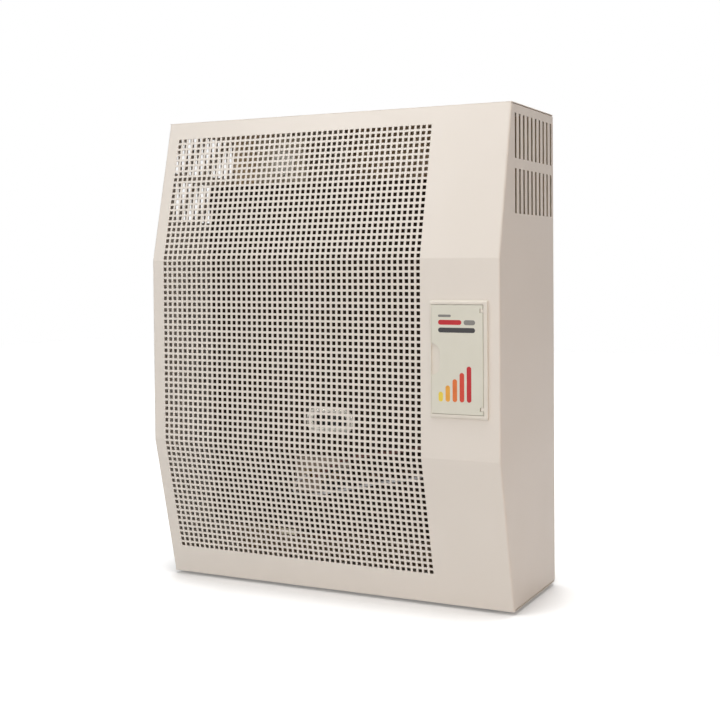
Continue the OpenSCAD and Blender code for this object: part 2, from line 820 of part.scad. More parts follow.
module pilot_tube() {
    start = [plate_x + probe_x[0], plate_front - 9 * reach, plate_z];
    color([0.86, 0.86, 0.86]) tube(smooth([
        start, start + [0, -4 * reach, 0], start + [-10, -9 * reach, -8], start + [-12, -9 * reach, -22],
        start + [20, -8 * reach, -22], [ex_r - 60, plate_front - 9 * reach, plate_z - 2],
        [ex_r - 8, plate_front - 7 * reach, plate_z + 8],
        [ex_r + 16, ex_front + 14, plate_z + 22], [pilot_x - 8, pilot_y + 2, port_z - 34],
        [pilot_x, pilot_y, port_z - 12], [pilot_x, pilot_y, port_z]
    ]), 2, [0.1, 1, 0.25]);
}

module ignition_lead() {
    start = [plate_x + probe_x[1], plate_front - 13 * reach, plate_z];
    color([0.85, 0.45, 0.42]) tube(smooth([
        start, start + [0, -5 * reach, 0], start + [12, -7 * reach, 9],
        [plate_x + 50, plate_front - 12 * reach, plate_z + 28],
        [ex_r - 40, plate_front - 7 * reach, plate_z + 39], [ex_r + 4, ex_front - 5 * reach, plate_z + 51],
        [ex_r + 13, ex_front + 14, plate_z + 90], [ex_r + 13, ex_front + 20, piezo_z - 30],
        [bracket_l - 8, lead_y, piezo_z - 3], [bracket_l + 8, lead_y, piezo_z],
        [ctrl_x - 12, lead_y + 2, piezo_z], [ctrl_x, piezo_back + 16, piezo_z], [ctrl_x, piezo_back + 8, piezo_z]
    ]), 2.3, [0.1, 0.4, 1]);
}

// ---------- Burner and gas ----------

module burner_tube() {
    slot_count = 24;
    x0 = ex_l + 24;
    x1 = ex_r + 14;
    color(steel) translate([0, burner_y, burner_z]) difference() {
        rod_x(burner_r, x0, x1);
        rod_x(burner_r - 1, x0 + 1, x1 + over);
        for (i = [0:slot_count - 1]) translate([x0 + 12 + i * (ex_r - x0 - 50) / slot_count, 0, 0])
            box([0, -6, burner_r - 4], [2, 6, burner_r + over]);
    }
}

module injector_holder() {
    x0 = ex_r + 2;
    color(brass) translate([0, burner_y, burner_z]) difference() {
        union() {
            rod_x(burner_r - 1 - touch, x0, ex_r + 14);
            rod_x(burner_r + 2, ex_r + 14, ex_r + 18);
            rod_x(supply_d / 2 + 3, ex_r + 18, ex_r + 26);
        }
        rod_x(1, x0 - over, ex_r + 16);
        rod_x(supply_d / 2 + snug, ex_r + 16, ex_r + 26 + over);
        for (a = [0:90:270]) rotate([a, 0, 0]) translate([0, 0, burner_r / 2]) rod_x(3, x0 - over, ex_r + 12);
    }
}

module gas_supply_pipe() {
    color(copper) tube(smooth([
        [outlet_x, outlet_y, port_z], [outlet_x, outlet_y, port_z - 22], [outlet_x, outlet_y + 2, port_z - 60],
        [outlet_x, burner_y - 2, burner_z + 26], [outlet_x - 9, burner_y, burner_z + 4],
        [ex_r + 30, burner_y, burner_z], [ex_r + 17, burner_y, burner_z]
    ], 6), supply_d / 2 - 0.1, [0.3, 1, 0.1], 10);
}

module gas_valve() {
    port_r = 9;
    color([0.75, 0.76, 0.78]) difference() {
        union() {
            box([ctrl_x - valve_w / 2, valve_front, valve_z[0]],
                [ctrl_x + valve_w / 2, valve_front + valve_depth - 12, valve_z[1]]);
            box([ctrl_x - valve_w / 2 + 8, valve_front, valve_z[0] + 8],
                [ctrl_x + valve_w / 2 - 8, valve_front + valve_depth, valve_z[1] - 8]);
            translate([ctrl_x, 0, knob_z]) rod_y(boss_r, boss_front, valve_front + over);
            translate([inlet_x, inlet_y, 0]) rod_z(inlet_d / 2, valve_z[0] - 8, valve_z[0] + over);
            translate([outlet_x, outlet_y, 0]) rod_z(port_r, port_z, valve_z[0] + over);
            translate([pilot_x, pilot_y - 6, 0]) rod_z(5, port_z, valve_z[0] + over);
        }
        translate([ctrl_x, 0, knob_z]) rod_y(spindle_r + running, boss_front - over, spindle_back + touch);
        valve_screw_places() rod_y(2 + snug, valve_front - over, valve_front + 9);
        translate([inlet_x, inlet_y, 0]) rod_z(inlet_d / 2 - 3, valve_z[0] - 8 - over, valve_z[0] + 12);
        translate([ctrl_x, 0, magnet_z]) rod_y(6, valve_back - 6, valve_back + over);
    }
}

module magnet_unit() {
    color(brass) translate([ctrl_x, valve_back, magnet_z]) {
        rod_y(6 - snug, -5, 0);
        rod_y(8, 0, 5);
        rod_y(3, 5, 10);
    }
}

module valve_screw_places() {
    for (s = [-1, 1], z = [valve_z[0] + 8, valve_z[1] - 8])
        translate([ctrl_x + s * (valve_w / 2 - 6), 0, z]) children();
}

module valve_screws() {
    color(steel) valve_screw_places() translate([0, ctrl_face, 0]) pan_screw(2, bracket_t + 8, 3.5, 2.2);
}

module spindle_form(clear, y0, y1) {
    difference() {
        rod_y(spindle_r + clear, y0, y1);
        translate([-spindle_r - over, y0 - over, spindle_r - 1.2 + clear])
            cube([2 * spindle_r + 2 * over, y1 - y0 + 2 * over, 3]);
    }
}

module valve_spindle() {
    flat_end = knob_back - spring_pocket + knob_travel + 1;
    color(steel) translate([ctrl_x, 0, knob_z]) {
        spindle_form(0, spindle_front, flat_end);
        rod_y(spindle_r, flat_end, spindle_back);
    }
}

module control_knob() {
    grips = 24;
    color([0.16, 0.16, 0.17]) translate([ctrl_x, 0, knob_z]) difference() {
        union() {
            rod_y(knob_r - 1.5, knob_front, knob_back - 4);
            rod_y(knob_r, knob_back - 4, knob_back);
        }
        for (i = [0:grips - 1]) rotate([0, i * 360 / grips, 0])
            translate([knob_r - 1.5, 0, 0]) rod_y(0.8, knob_front - over, knob_back - 4.5);
        spindle_form(running, knob_front + 2, knob_back + over);
        rod_y(spindle_r + 4.5, knob_back - spring_pocket, knob_back + over);
        box([-1, knob_front - over, knob_r - 9], [1, knob_front + 0.8, knob_r - 2.5]);
    }
}

module knob_spring() {
    color(steel) translate([ctrl_x, 0, knob_z])
        coil_spring(spindle_r + 2.6, 0.5, knob_back - spring_pocket, boss_front, 5);
}

module control_bracket() {
    color(galvanised) difference() {
        union() {
            box([bracket_l, ctrl_face, bracket_z[0]], [bracket_r, ctrl_face + bracket_t, bracket_z[1]]);
            box([bracket_l, ctrl_face, bracket_z[0]], [bracket_l + bracket_t, rear_face, bracket_z[1]]);
            box([bracket_l, rear_face - bracket_t, bracket_z[0]], [bracket_l + 18, rear_face, bracket_z[1]]);
        }
        translate([ctrl_x, 0, knob_z]) rod_y(boss_r + touch, ctrl_face - over, ctrl_face + bracket_t + over);
        translate([ctrl_x, 0, piezo_z]) rod_y(piezo_r + snug, ctrl_face - over, ctrl_face + bracket_t + over);
        valve_screw_places() rod_y(2.2, ctrl_face - over, ctrl_face + bracket_t + over);
        translate([0, lead_y, piezo_z - 1.5]) rod_x(6, bracket_l - over, bracket_l + bracket_t + over);
    }
}

module piezo_igniter() {
    color([0.15, 0.15, 0.16]) translate([ctrl_x, 0, piezo_z]) difference() {
        union() {
            rod_y(piezo_r, piezo_front, piezo_back);
            rod_y(piezo_r + 3, ctrl_face - 3, ctrl_face);
            rod_y(2, piezo_back - over, piezo_back + 8);
        }
        rod_y(button_r + running, piezo_front - over, shoulder_y + over);
        rod_y(piezo_bore, shoulder_y, piezo_back - piezo_floor);
    }
}

module piezo_nut() {
    color(steel) translate([ctrl_x, 0, piezo_z])
        hex_nut(22, piezo_r + snug, ctrl_face + bracket_t, ctrl_face + bracket_t + 4);
}

module piezo_button() {
    color([0.72, 0.12, 0.10]) translate([ctrl_x, 0, piezo_z]) {
        rod_y(button_r, button_front, shoulder_y + 2);
        rod_y(piezo_bore - running, shoulder_y + 0.2, shoulder_y + button_flange);
    }
}

module piezo_spring() {
    color(steel) translate([ctrl_x, 0, piezo_z])
        coil_spring(4.6, 0.45, shoulder_y + button_flange, piezo_back - piezo_floor, 6);
}

module gas_inlet_pipe() {
    pipe_r = inlet_d / 2 - 1.5;
    nut_top = valve_z[0] - 8;
    color(steel) translate([inlet_x, inlet_y, 0]) difference() {
        union() {
            rod_z(inlet_d / 2, inlet_end, inlet_end + inlet_thread);
            rod_z(pipe_r, inlet_end, nut_top);
        }
        rod_z(inlet_d / 2 - 4, inlet_end - over, nut_top + over);
    }
}

module union_nut() {
    z0 = valve_z[0] - 24;
    z1 = valve_z[0] - 1;
    color(brass) translate([inlet_x, inlet_y, 0]) difference() {
        translate([0, 0, z0]) cylinder(d = (inlet_d + 5.5) / cos(30), h = z1 - z0, $fn = 6);
        rod_z(inlet_d / 2 - 1.5 + snug, z0 - over, z1 + over);
        rod_z(inlet_d / 2 + snug, valve_z[0] - 8 - touch, z1 + over);
    }
}

// ---------- Thermostat ----------

module thermostat_bulb() {
    color(copper) translate([0, bulb_y, bulb_z]) {
        rod_x(bulb_r, bulb_l, bulb_l + bulb_len);
        rod_x(2, bulb_l + bulb_len - over, bulb_l + bulb_len + 6);
    }
}

module thermostat_capillary() {
    start = [bulb_l + bulb_len + 6, bulb_y, bulb_z];
    color(copper) tube(smooth([
        start, start + [8, 0, 0], [ex_r - 30, bulb_y + 2, bulb_z - 4], [ex_r + 22, bulb_y + 6, bulb_z + 10],
        [ctrl_x - 6, pilot_y - 20, bulb_z + 60], [ctrl_x, pilot_y - 4, port_z - 30],
        [ctrl_x, pilot_y - 4, port_z], [ctrl_x, pilot_y - 4, valve_z[0]]
    ], 6), 1, [0.1, 1, 0.2]);
}

module bulb_clip() {
    clip_w = 24;
    color([0.82, 0.74, 0.48]) difference() {
        union() {
            box([clip_x - clip_w / 2, bulb_y - 12, ex_b - 1.2], [clip_x + clip_w / 2, bulb_y + 12, ex_b]);
            box([clip_x - clip_w / 2, bulb_y - 1.5 * bulb_r, bulb_z - 1],
                [clip_x + clip_w / 2, bulb_y + 1.5 * bulb_r, ex_b - 1.2]);
        }
        translate([0, bulb_y, bulb_z]) rod_x(bulb_r + 0.15, clip_x - clip_w, clip_x + clip_w);
    }
}

front_panel();
side_panel_left();
side_panel_right();
top_panel();
bottom_panel();
rear_panel();
casing_screws();
hatch_frame();
hatch_door();
hatch_hinge_pins();
heat_exchanger();
heat_shield();
exchanger_brackets();
bracket_screws();
flue_hood();
inspection_cap();
exhaust_spigot();
air_intake_collar();
air_duct();
sight_window_frame();
sight_glass();
sight_gasket();
sight_window_screws();
burner_access_plate();
access_plate_gasket();
access_plate_screws();
burner_tube();
injector_holder();
pilot_burner();
ignition_electrode();
thermocouple();
probe_nuts();
pilot_tube();
ignition_lead();
gas_supply_pipe();
gas_valve();
magnet_unit();
valve_screws();
valve_spindle();
control_knob();
knob_spring();
control_bracket();
piezo_igniter();
piezo_nut();
piezo_button();
piezo_spring();
gas_inlet_pipe();
union_nut();
thermostat_bulb();
thermostat_capillary();
bulb_clip();
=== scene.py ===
import json
import math

import bmesh
import bpy
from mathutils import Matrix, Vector

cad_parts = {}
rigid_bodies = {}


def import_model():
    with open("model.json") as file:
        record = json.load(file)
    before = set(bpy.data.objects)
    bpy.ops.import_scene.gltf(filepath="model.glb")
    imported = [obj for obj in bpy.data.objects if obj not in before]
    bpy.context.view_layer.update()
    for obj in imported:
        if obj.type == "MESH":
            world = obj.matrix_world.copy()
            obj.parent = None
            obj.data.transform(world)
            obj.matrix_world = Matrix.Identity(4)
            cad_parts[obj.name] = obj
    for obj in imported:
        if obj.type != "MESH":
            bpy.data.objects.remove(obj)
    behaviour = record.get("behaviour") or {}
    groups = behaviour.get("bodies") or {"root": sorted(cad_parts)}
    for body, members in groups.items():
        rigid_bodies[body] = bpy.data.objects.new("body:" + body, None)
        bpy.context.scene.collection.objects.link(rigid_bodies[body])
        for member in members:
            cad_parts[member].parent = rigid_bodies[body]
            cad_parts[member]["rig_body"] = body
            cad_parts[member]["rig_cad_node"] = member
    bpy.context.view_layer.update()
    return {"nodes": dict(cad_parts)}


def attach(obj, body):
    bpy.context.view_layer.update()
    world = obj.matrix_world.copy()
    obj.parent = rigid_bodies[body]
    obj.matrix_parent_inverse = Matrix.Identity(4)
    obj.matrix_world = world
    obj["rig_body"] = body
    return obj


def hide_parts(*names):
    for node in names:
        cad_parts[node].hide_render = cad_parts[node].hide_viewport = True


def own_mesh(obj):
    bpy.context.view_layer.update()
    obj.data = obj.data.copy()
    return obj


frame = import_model()

# ---------------------------------------------------------------------------------------------
# Rear panel: a 1.5 mm galvanised sheet that hangs on four wall screws. Its edges are folded
# forwards to carry the casing, and three long swages are pressed into its back to stiffen it.
# ---------------------------------------------------------------------------------------------
MM = 0.001
REAR_X, LID_Z, REAR_T, REAR_BEND = 255.7, 316.5, 1.5, 2.0
REAR_FLANGE_X, TOP_FLANGE, BOTTOM_FLANGE = 240.0, 14.0, 24.0
SIDE_FLANGE, SIDE_FLANGE_LOW, SIDE_FLANGE_TOP = 17.0, -287.5, 142.5
WALL_HOLES = [(x, z) for x in (-200, 200) for z in (-250, 250)]
WALL_HOLE_R, FLUE_X, FLUE_Z, COLLAR_HOLE_R = 3.5, -100.0, 258.0, 51.3
FOOT_X, FOOT_Z = (-175, 122), (-191.5, 174.5)
SCREW_R, PLAY, WIDE_PLAY, REAR_SCREW_X, REAR_SCREW_Y = 1.75, 0.06, 0.2, (-180, 0, 180), -14.0
SWAGE_X, SWAGE_Z, SWAGE_HALF, SWAGE_DEPTH = (-20, 60, 140), -40.0, (12, 4, 320), 0.8
DRILL_LOW, DRILL_HIGH, DRILL_BACK = -330.0, -310.0, 9.0
# The first is how far the rear sheet's inner face goes to its painted warm bounce tone, the second is the
# spangle's share
PAINTED_BOUNCE_SHARE, SPANGLE_SHARE = 0.75, 0.25


def clear():
    """Leaves edit mode and lets go of every piece."""
    if bpy.context.mode != "OBJECT":
        bpy.ops.object.mode_set(mode="OBJECT")
    bpy.ops.object.select_all(action="DESELECT")


def take(*objects):
    """Selects pieces, the first one as the active piece."""
    clear()
    for o in objects:
        o.select_set(True)
    bpy.context.view_layer.objects.active = objects[0]
    return objects[0]


def add(name, kind, size, at=(0, 0, 0), turn=(0, 0, 0), **more):
    """A primitive at its place: size is half its width, depth and height in mm, turn is in degrees."""
    clear()
    getattr(bpy.ops.mesh, f"primitive_{kind}_add")(**more)
    o = bpy.context.object
    o.name = o.data.name = name
    o.scale = [s * MM for s in size]
    return settle(o, at, turn)


def settle(o, at=(0, 0, 0), turn=(0, 0, 0)):
    """Turns a piece in degrees about the origin, moves it in mm and writes both into its mesh."""
    o.rotation_euler = [math.radians(a) for a in turn]
    o.location = [a * MM for a in at]
    take(o)
    bpy.ops.object.transform_apply(location=True, rotation=True, scale=True)
    return o


def bar(name, low, high):
    """A block between two corners in mm."""
    size = [(b - a) / 2 for a, b in zip(low, high)]
    return add(name, "cube", size, [(a + b) / 2 for a, b in zip(low, high)])


def rod(name, radius, start, end, along="y", vertices=32):
    """A round bar between two points on a line along one axis, in mm."""
    half = sum(b - a for a, b in zip(start, end)) / 2
    turn = {"x": (0, 90, 0), "y": (-90, 0, 0), "z": (0, 0, 0)}[along]
    return add(name, "cylinder", (radius, radius, half), [(a + b) / 2 for a, b in zip(start, end)], turn,
               vertices=vertices)


def edit(o, kind="EDGE"):
    """Opens a piece for editing, with nothing picked."""
    take(o)
    bpy.ops.object.mode_set(mode="EDIT")
    bpy.ops.mesh.select_mode(type=kind)
    bpy.ops.mesh.select_all(action="DESELECT")


def leave():
    """Ends the editing of a piece."""
    bpy.ops.object.mode_set(mode="OBJECT")


def pick_all():
    """Selects all of the piece in edit mode."""
    bpy.ops.mesh.select_all(action="SELECT")


def pick(o, kind, test):
    """Selects the faces or edges in edit mode that pass a test on their middle, in mm."""
    m = bmesh.from_edit_mesh(o.data)
    found = []
    for e in getattr(m, kind):
        middle = sum((v.co for v in e.verts), Vector()) / len(e.verts) / MM
        if test(e, middle):
            found.append(e)
    for e in (*m.faces, *m.edges, *m.verts):
        e.select = False
    for e in found:
        e.select_set(True)
    m.select_flush_mode()
    bmesh.update_edit_mesh(o.data)


def pull(by):
    """Draws the picked edges out into new faces."""
    bpy.ops.mesh.extrude_edges_move(TRANSFORM_OT_translate={"value": [b * MM for b in by]})


def bevel(width, segments, **more):
    """Rounds the picked edges, by a width in mm."""
    bpy.ops.mesh.bevel(offset=width * MM, segments=segments, affect="EDGES", **more)


def runs(axis, least=1.0):
    """A test for edges that run along an axis for more than a length in mm."""
    return lambda e, c: abs(e.verts[0].co[axis] - e.verts[1].co[axis]) > least * MM


def folds(angle):
    """A test for edges where two faces meet at more than an angle in degrees."""
    return lambda e, c: len(e.link_faces) == 2 and e.calc_face_angle(0) > math.radians(angle)


def apply(o, kind, **settings):
    """Works a modifier into a piece's mesh."""
    take(o)
    m = o.modifiers.new(kind.title(), kind)
    for key, value in settings.items():
        setattr(m, key, value)
    bpy.ops.object.modifier_apply(modifier=m.name)
    return o


def thicken(o, wall):
    """Gives a sheet its wall, inwards from its outer face."""
    return apply(o, "SOLIDIFY", thickness=wall * MM, offset=-1, use_even_offset=True)


def ease(o, width, segments=2, angle=35):
    """Breaks the sharp edges."""
    return apply(o, "BEVEL", width=width * MM, segments=segments, limit_method="ANGLE",
                 angle_limit=math.radians(angle), use_clamp_overlap=False)


def repeat(o, count, step):
    """Repeats a piece in a row, with a step in mm, and merges the corners that meet."""
    apply(o, "ARRAY", use_relative_offset=False, use_constant_offset=True, count=count,
          constant_offset_displace=[s * MM for s in step], use_merge_vertices=True, merge_threshold=1e-5)


def join(name, *objects):
    """Puts pieces together under one name."""
    o = take(*objects)
    if len(objects) > 1:
        bpy.ops.object.join()
    o.name = o.data.name = name
    return o


def copy(o, name, by=(0, 0, 0), turn=(0, 0, 0)):
    """A copy with its own mesh, turned in degrees about the origin and then moved in mm."""
    take(o)
    bpy.ops.object.duplicate()
    new = bpy.context.object
    new.name = new.data.name = name
    return settle(new, by, turn)


def cut(o, *tools):
    """Cuts one or more shapes out of a piece and throws them away."""
    tool = join("cutter", *tools)
    apply(o, "BOOLEAN", operation="DIFFERENCE", solver="EXACT", object=tool)
    bpy.data.objects.remove(tool)
    return o


def merge(name, o, other):
    """Makes one solid of two that run into each other."""
    apply(o, "BOOLEAN", operation="UNION", solver="EXACT", object=other)
    bpy.data.objects.remove(other)
    o.name = o.data.name = name
    return o


def weld(distance=0.01):
    """Merges corners that are closer than a distance in mm."""
    pick_all()
    bpy.ops.mesh.remove_doubles(threshold=distance * MM)


def smooth(o, angle=30):
    """Shades a piece round where its faces meet at less than an angle in degrees."""
    take(o)
    bpy.ops.object.shade_smooth_by_angle(angle=math.radians(angle))
    return apply(o, "WEIGHTED_NORMAL", keep_sharp=True)


def dress(o, *materials):
    """Gives a piece its materials."""
    o.data.materials.clear()
    for m in materials:
        o.data.materials.append(m)
    return o


def fit(o, body, node, slot, *materials):
    """Hands a finished piece over: its finish, what it moves with and the plain shape it stands for."""
    if materials:
        dress(o, *materials)
    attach(o, body)
    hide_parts(node)


def put(tree, kind, inputs=(), **settings):
    """Adds a shader node, sets it up and links or fills its inputs."""
    n = tree.nodes.new("ShaderNode" + kind)
    for key, value in settings.items():
        setattr(n, key, value)
    for key, value in dict(inputs).items():
        if isinstance(value, bpy.types.NodeSocket):
            tree.links.new(value, n.inputs[key])
        else:
            n.inputs[key].default_value = value
    return n


def maths(tree, operation, *values, **settings):
    """A sum on numbers or sockets, and its result."""
    return put(tree, "Math", dict(enumerate(values)), operation=operation, **settings).outputs[0]


def swing(tree, value, contrast):
    """A value with its swing round a half made wider or narrower."""
    value = maths(tree, "SUBTRACT", value, 0.5)
    return maths(tree, "MULTIPLY_ADD", value, contrast, 0.5, use_clamp=True)


def group(name, inputs, *outputs):
    """A node group with named number sockets, and its input and output nodes."""
    tree = bpy.data.node_groups.new(name, "ShaderNodeTree")
    for key, value in inputs.items():
        socket = tree.interface.new_socket(key, in_out="INPUT", socket_type="NodeSocketFloat")
        socket.default_value = value
    for key in outputs:
        tree.interface.new_socket(key, in_out="OUTPUT", socket_type="NodeSocketFloat")
    return tree, tree.nodes.new("NodeGroupInput").outputs, tree.nodes.new("NodeGroupOutput").inputs


def use(name, out, **inputs):
    """Places a node group in a material with values of its own."""
    def place(tree):
        n = put(tree, "Group", node_tree=bpy.data.node_groups[name])
        for key, value in inputs.items():
            n.inputs[key.title()].default_value = value
        return n.outputs[out]
    return place


def colour(code):
    """A colour as it is seen, from its six-figure code."""
    seen = [int(code[i:i + 2], 16) / 255 for i in (0, 2, 4)]
    return [c / 12.92 if c < 0.04045 else ((c + 0.055) / 1.055) ** 2.4 for c in seen] + [1]


def finish(name, light, dark, mask, rough, height=None, bump=0.1, depth=0.05, **shader):
    """A material between two tones by a mask, with its roughness range and its relief in mm."""
    m = bpy.data.materials.new(name)
    m.use_nodes = True
    tree = m.node_tree
    bsdf = tree.nodes["Principled BSDF"]
    for key, value in shader.items():
        bsdf.inputs[key.replace("_", " ").title().replace("Ior", "IOR")].default_value = value
    mask = mask(tree)
    tone = put(tree, "Mix", {6: colour(light), 7: colour(dark), 0: mask}, data_type="RGBA")
    tree.links.new(tone.outputs[2], bsdf.inputs["Base Color"])
    shine = put(tree, "MapRange", {"Value": mask, "To Min": rough[0], "To Max": rough[1]})
    tree.links.new(shine.outputs[0], bsdf.inputs["Roughness"])
    if height:
        relief = put(tree, "Bump", {"Strength": bump, "Distance": depth * MM, "Height": height(tree)})
        tree.links.new(relief.outputs[0], bsdf.inputs["Normal"])
    return m


# The crystals of hot dip galvanising, each with a tone of its own
tree, got, give = group("spangle", {"Size": 0.01, "Contrast": 1.0}, "Mask", "Height")
place = put(tree, "TexCoord").outputs["Object"]
scale = maths(tree, "DIVIDE", 1.0, got["Size"])
warp = put(tree, "TexNoise", {"Vector": place, "Scale": scale, "Detail": 2.0}).outputs["Color"]
warp = put(tree, "VectorMath", {0: warp, "Scale": 0.012}, operation="SCALE").outputs[0]
place = put(tree, "VectorMath", {0: place, 1: warp}, operation="ADD").outputs[0]
cells = put(tree, "TexVoronoi", {"Vector": place, "Scale": scale})
value = put(tree, "SeparateColor", {0: cells.outputs["Color"]}).outputs[0]
tree.links.new(swing(tree, value, got["Contrast"]), give["Mask"])
tree.links.new(cells.outputs["Distance"], give["Height"])

galvanised = finish("galvanised_sheet", "cdc6b8", "a89f8f",
                    use("spangle", "Mask", size=0.012, contrast=0.9), (0.28, 0.46),
                    use("spangle", "Height", size=0.012), 0.15, 0.03, metallic=0.85)


def drill_back(radius, x, z, vertices=32):
    """A drill through the rear sheet."""
    return rod("drill", radius, (x, -DRILL_BACK, z), (x, DRILL_BACK, z), vertices=vertices)


def drill_up(radius, x, y, vertices=24):
    """A drill through the casing's underside."""
    return rod("drill", radius, (x, y, DRILL_LOW), (x, y, DRILL_HIGH), "z", vertices)


rear = add("rear_sheet", "plane", (REAR_X, LID_Z, 1), turn=(-90, 0, 0))
edit(rear)
for x in (-REAR_FLANGE_X, REAR_FLANGE_X):
    pick_all()
    bpy.ops.mesh.bisect(plane_co=(x * MM, 0, 0), plane_no=(1, 0, 0))
for z in (SIDE_FLANGE_LOW, SIDE_FLANGE_TOP):
    pick_all()
    bpy.ops.mesh.bisect(plane_co=(0, 0, z * MM), plane_no=(0, 0, 1))
for way, depth in ((1, TOP_FLANGE), (-1, BOTTOM_FLANGE)):
    pick(rear, "edges", lambda e, c: abs(c.z - way * LID_Z) < 0.1 and abs(c.x) < REAR_FLANGE_X)
    pull((0, -depth, 0))
pick(rear, "edges",
     lambda e, c: abs(abs(c.x) - REAR_X) < 0.1 and SIDE_FLANGE_LOW < c.z < SIDE_FLANGE_TOP)
pull((0, -SIDE_FLANGE, 0))
pick(rear, "edges", folds(60))
bevel(REAR_BEND, 4)
leave()
thicken(rear, REAR_T)
drills = [drill_back(WALL_HOLE_R, x, z) for x, z in WALL_HOLES]
drills.append(drill_back(COLLAR_HOLE_R, FLUE_X, FLUE_Z, 96))
drills += [drill_back(SCREW_R + PLAY, x, z) for x in FOOT_X for z in FOOT_Z]
drills += [drill_up(SCREW_R + PLAY, x, REAR_SCREW_Y, 32) for x in REAR_SCREW_X]
cut(rear, *drills)
cut(rear, *[add("swage", "uv_sphere", SWAGE_HALF, (x, SWAGE_HALF[1] - SWAGE_DEPTH, SWAGE_Z), segments=48,
                ring_count=64) for x in SWAGE_X])
ease(rear, 0.2, 1, 50)


def painted_bounce_inside(tree):
    """The zinc's own crystals on both faces, and a darker, warmer tone over the inner one: painted warm
    bounce light and shade from the cream casing.
    """
    crystals = use("spangle", "Mask", size=0.008, contrast=0.6)(tree)
    depth = put(tree, "SeparateXYZ", {0: put(tree, "TexCoord").outputs["Object"]}).outputs["Y"]
    inner = put(tree, "MapRange", {"Value": depth, "From Min": -0.88 * REAR_T * MM,
                                   "From Max": -0.96 * REAR_T * MM, "To Max": PAINTED_BOUNCE_SHARE})
    return maths(tree, "MULTIPLY_ADD", crystals, SPANGLE_SHARE, inner.outputs[0])


# The inner face's darker warm brown is painted bounce light and shade over the zinc's spangle
zinc_with_painted_bounce = finish("zinc_with_painted_bounce", "d0cbc0", "c4a883", painted_bounce_inside, (0.42, 0.6),
                    use("spangle", "Height", size=0.008), 0.12, 0.03, metallic=0.3)
fit(smooth(rear), "casing", "rear_panel", "galvanised", zinc_with_painted_bounce)

# ---------------------------------------------------------------------------------------------
# Air collar and exhaust spigot: two tubes rolled from thin galvanised sheet, one inside the
# other. Each has a bead near its end, and the collar is spot-welded to the rear panel by a ring.
# ---------------------------------------------------------------------------------------------
COLLAR_R, EXHAUST_R, SPIGOT_WALL = 50.2, 30.2, 1.0
COLLAR_END, SPIGOT_END, COLLAR_BEAD, SPIGOT_BEAD, BEAD = -16.0, -61.5, -9.0, -10.0, 0.9


def turn_out():
    """Turns every face outwards and ends the editing."""
    pick_all()
    bpy.ops.mesh.normals_make_consistent(inside=False)
    leave()


def turned(name, rings, at=(0, 0, 0), turn=(-90, 0, 0), count=48):
    """A round piece drawn ring by ring, each with its radius and its place along the axis in mm."""
    clear()
    bpy.ops.mesh.primitive_circle_add(vertices=count, radius=rings[0][0] * MM)
    o = bpy.context.object
    o.name = o.data.name = name
    edit(o)
    pick_all()
    bpy.ops.transform.translate(value=(0, 0, rings[0][1] * MM))
    for (r, h), (r2, h2) in zip(rings, rings[1:]):
        bpy.ops.mesh.extrude_edges_move()
        bpy.ops.transform.resize(value=(r2 / r, r2 / r, 1), center_override=(0, 0, h * MM))
        bpy.ops.transform.translate(value=(0, 0, (h2 - h) * MM))
    if rings[0] == rings[-1]:
        weld(0.002)
    else:
        pick_all()
        bpy.ops.mesh.fill_holes(sides=0)
    turn_out()
    return settle(o, at, turn)


def beaded(bore, start, bead_at, extra=()):
    """The rings of a rolled tube with a bead all round, from start to the wall."""
    out = bore + SPIGOT_WALL
    bead = [(out + BEAD * math.sin(math.pi * i / 6), bead_at - 2.4 + 0.8 * i) for i in range(7)]
    ends = [(out - 0.35, start), (out, start + 0.35)]
    wall = [(out, -0.3), (out - 0.3, 0), (bore + 0.3, 0), (bore, -0.3)]
    return [(bore, start + 0.3), *ends, *bead, *extra, *wall, (bore, start + 0.3)]


out = COLLAR_R + SPIGOT_WALL
collar_ring = [(out, -3), (out + 3.7, -3), (out + 4, -2.7), (out + 4, -REAR_T), (out, -REAR_T)]
collar = turned("air_collar", beaded(COLLAR_R, COLLAR_END, COLLAR_BEAD, collar_ring), (FLUE_X, 0, FLUE_Z),
                count=96)
fit(smooth(collar), "casing", "air_intake_collar", "galvanised", galvanised)
spigot = turned("exhaust_tube", beaded(EXHAUST_R, SPIGOT_END, SPIGOT_BEAD), (FLUE_X, 0, FLUE_Z), count=72)
fit(smooth(spigot), "casing", "exhaust_spigot", "galvanised", galvanised)

# ---------------------------------------------------------------------------------------------
# Air duct, heat shield and brackets: folded galvanised sheet. The duct leads air from the collar
# into the exchanger's back, the shield keeps its heat off the wall, four feet carry its weight.
# ---------------------------------------------------------------------------------------------


def soften(name, node, width, segments=2, angle=35, shape=None):
    """A piece on a node's own outline, its edges broken as folding, casting or moulding leaves them."""
    take(frame["nodes"][node])
    bpy.ops.object.duplicate()
    o = bpy.context.object
    o.name = o.data.name = name
    o.parent = None
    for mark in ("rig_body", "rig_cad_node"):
        del o[mark]
    edit(o)
    weld()
    bpy.ops.mesh.dissolve_limited(angle_limit=math.radians(0.5))
    leave()
    if shape:
        shape(o)
    ease(o, width, segments, angle)
    return smooth(o)


for name, node, width, segments in (("air_duct_sheet", "air_duct", 0.35, 2),
                                    ("heat_shield_sheet", "heat_shield", 0.2, 1),
                                    ("exchanger_feet", "exchanger_brackets", 0.35, 2)):
    fit(soften(name, node, width, segments), "casing", node, "galvanised", galvanised)

# ---------------------------------------------------------------------------------------------
# Foot screws: zinc plated pan heads with a cross recess, driven through the feet into the rear
# panel. The other screws of the heater are the same pattern in their own sizes.
# ---------------------------------------------------------------------------------------------
FOOT_SCREW_Y, FOOT_SCREW = -3.0, (SCREW_R, 3.0, 3.8, 1.8)

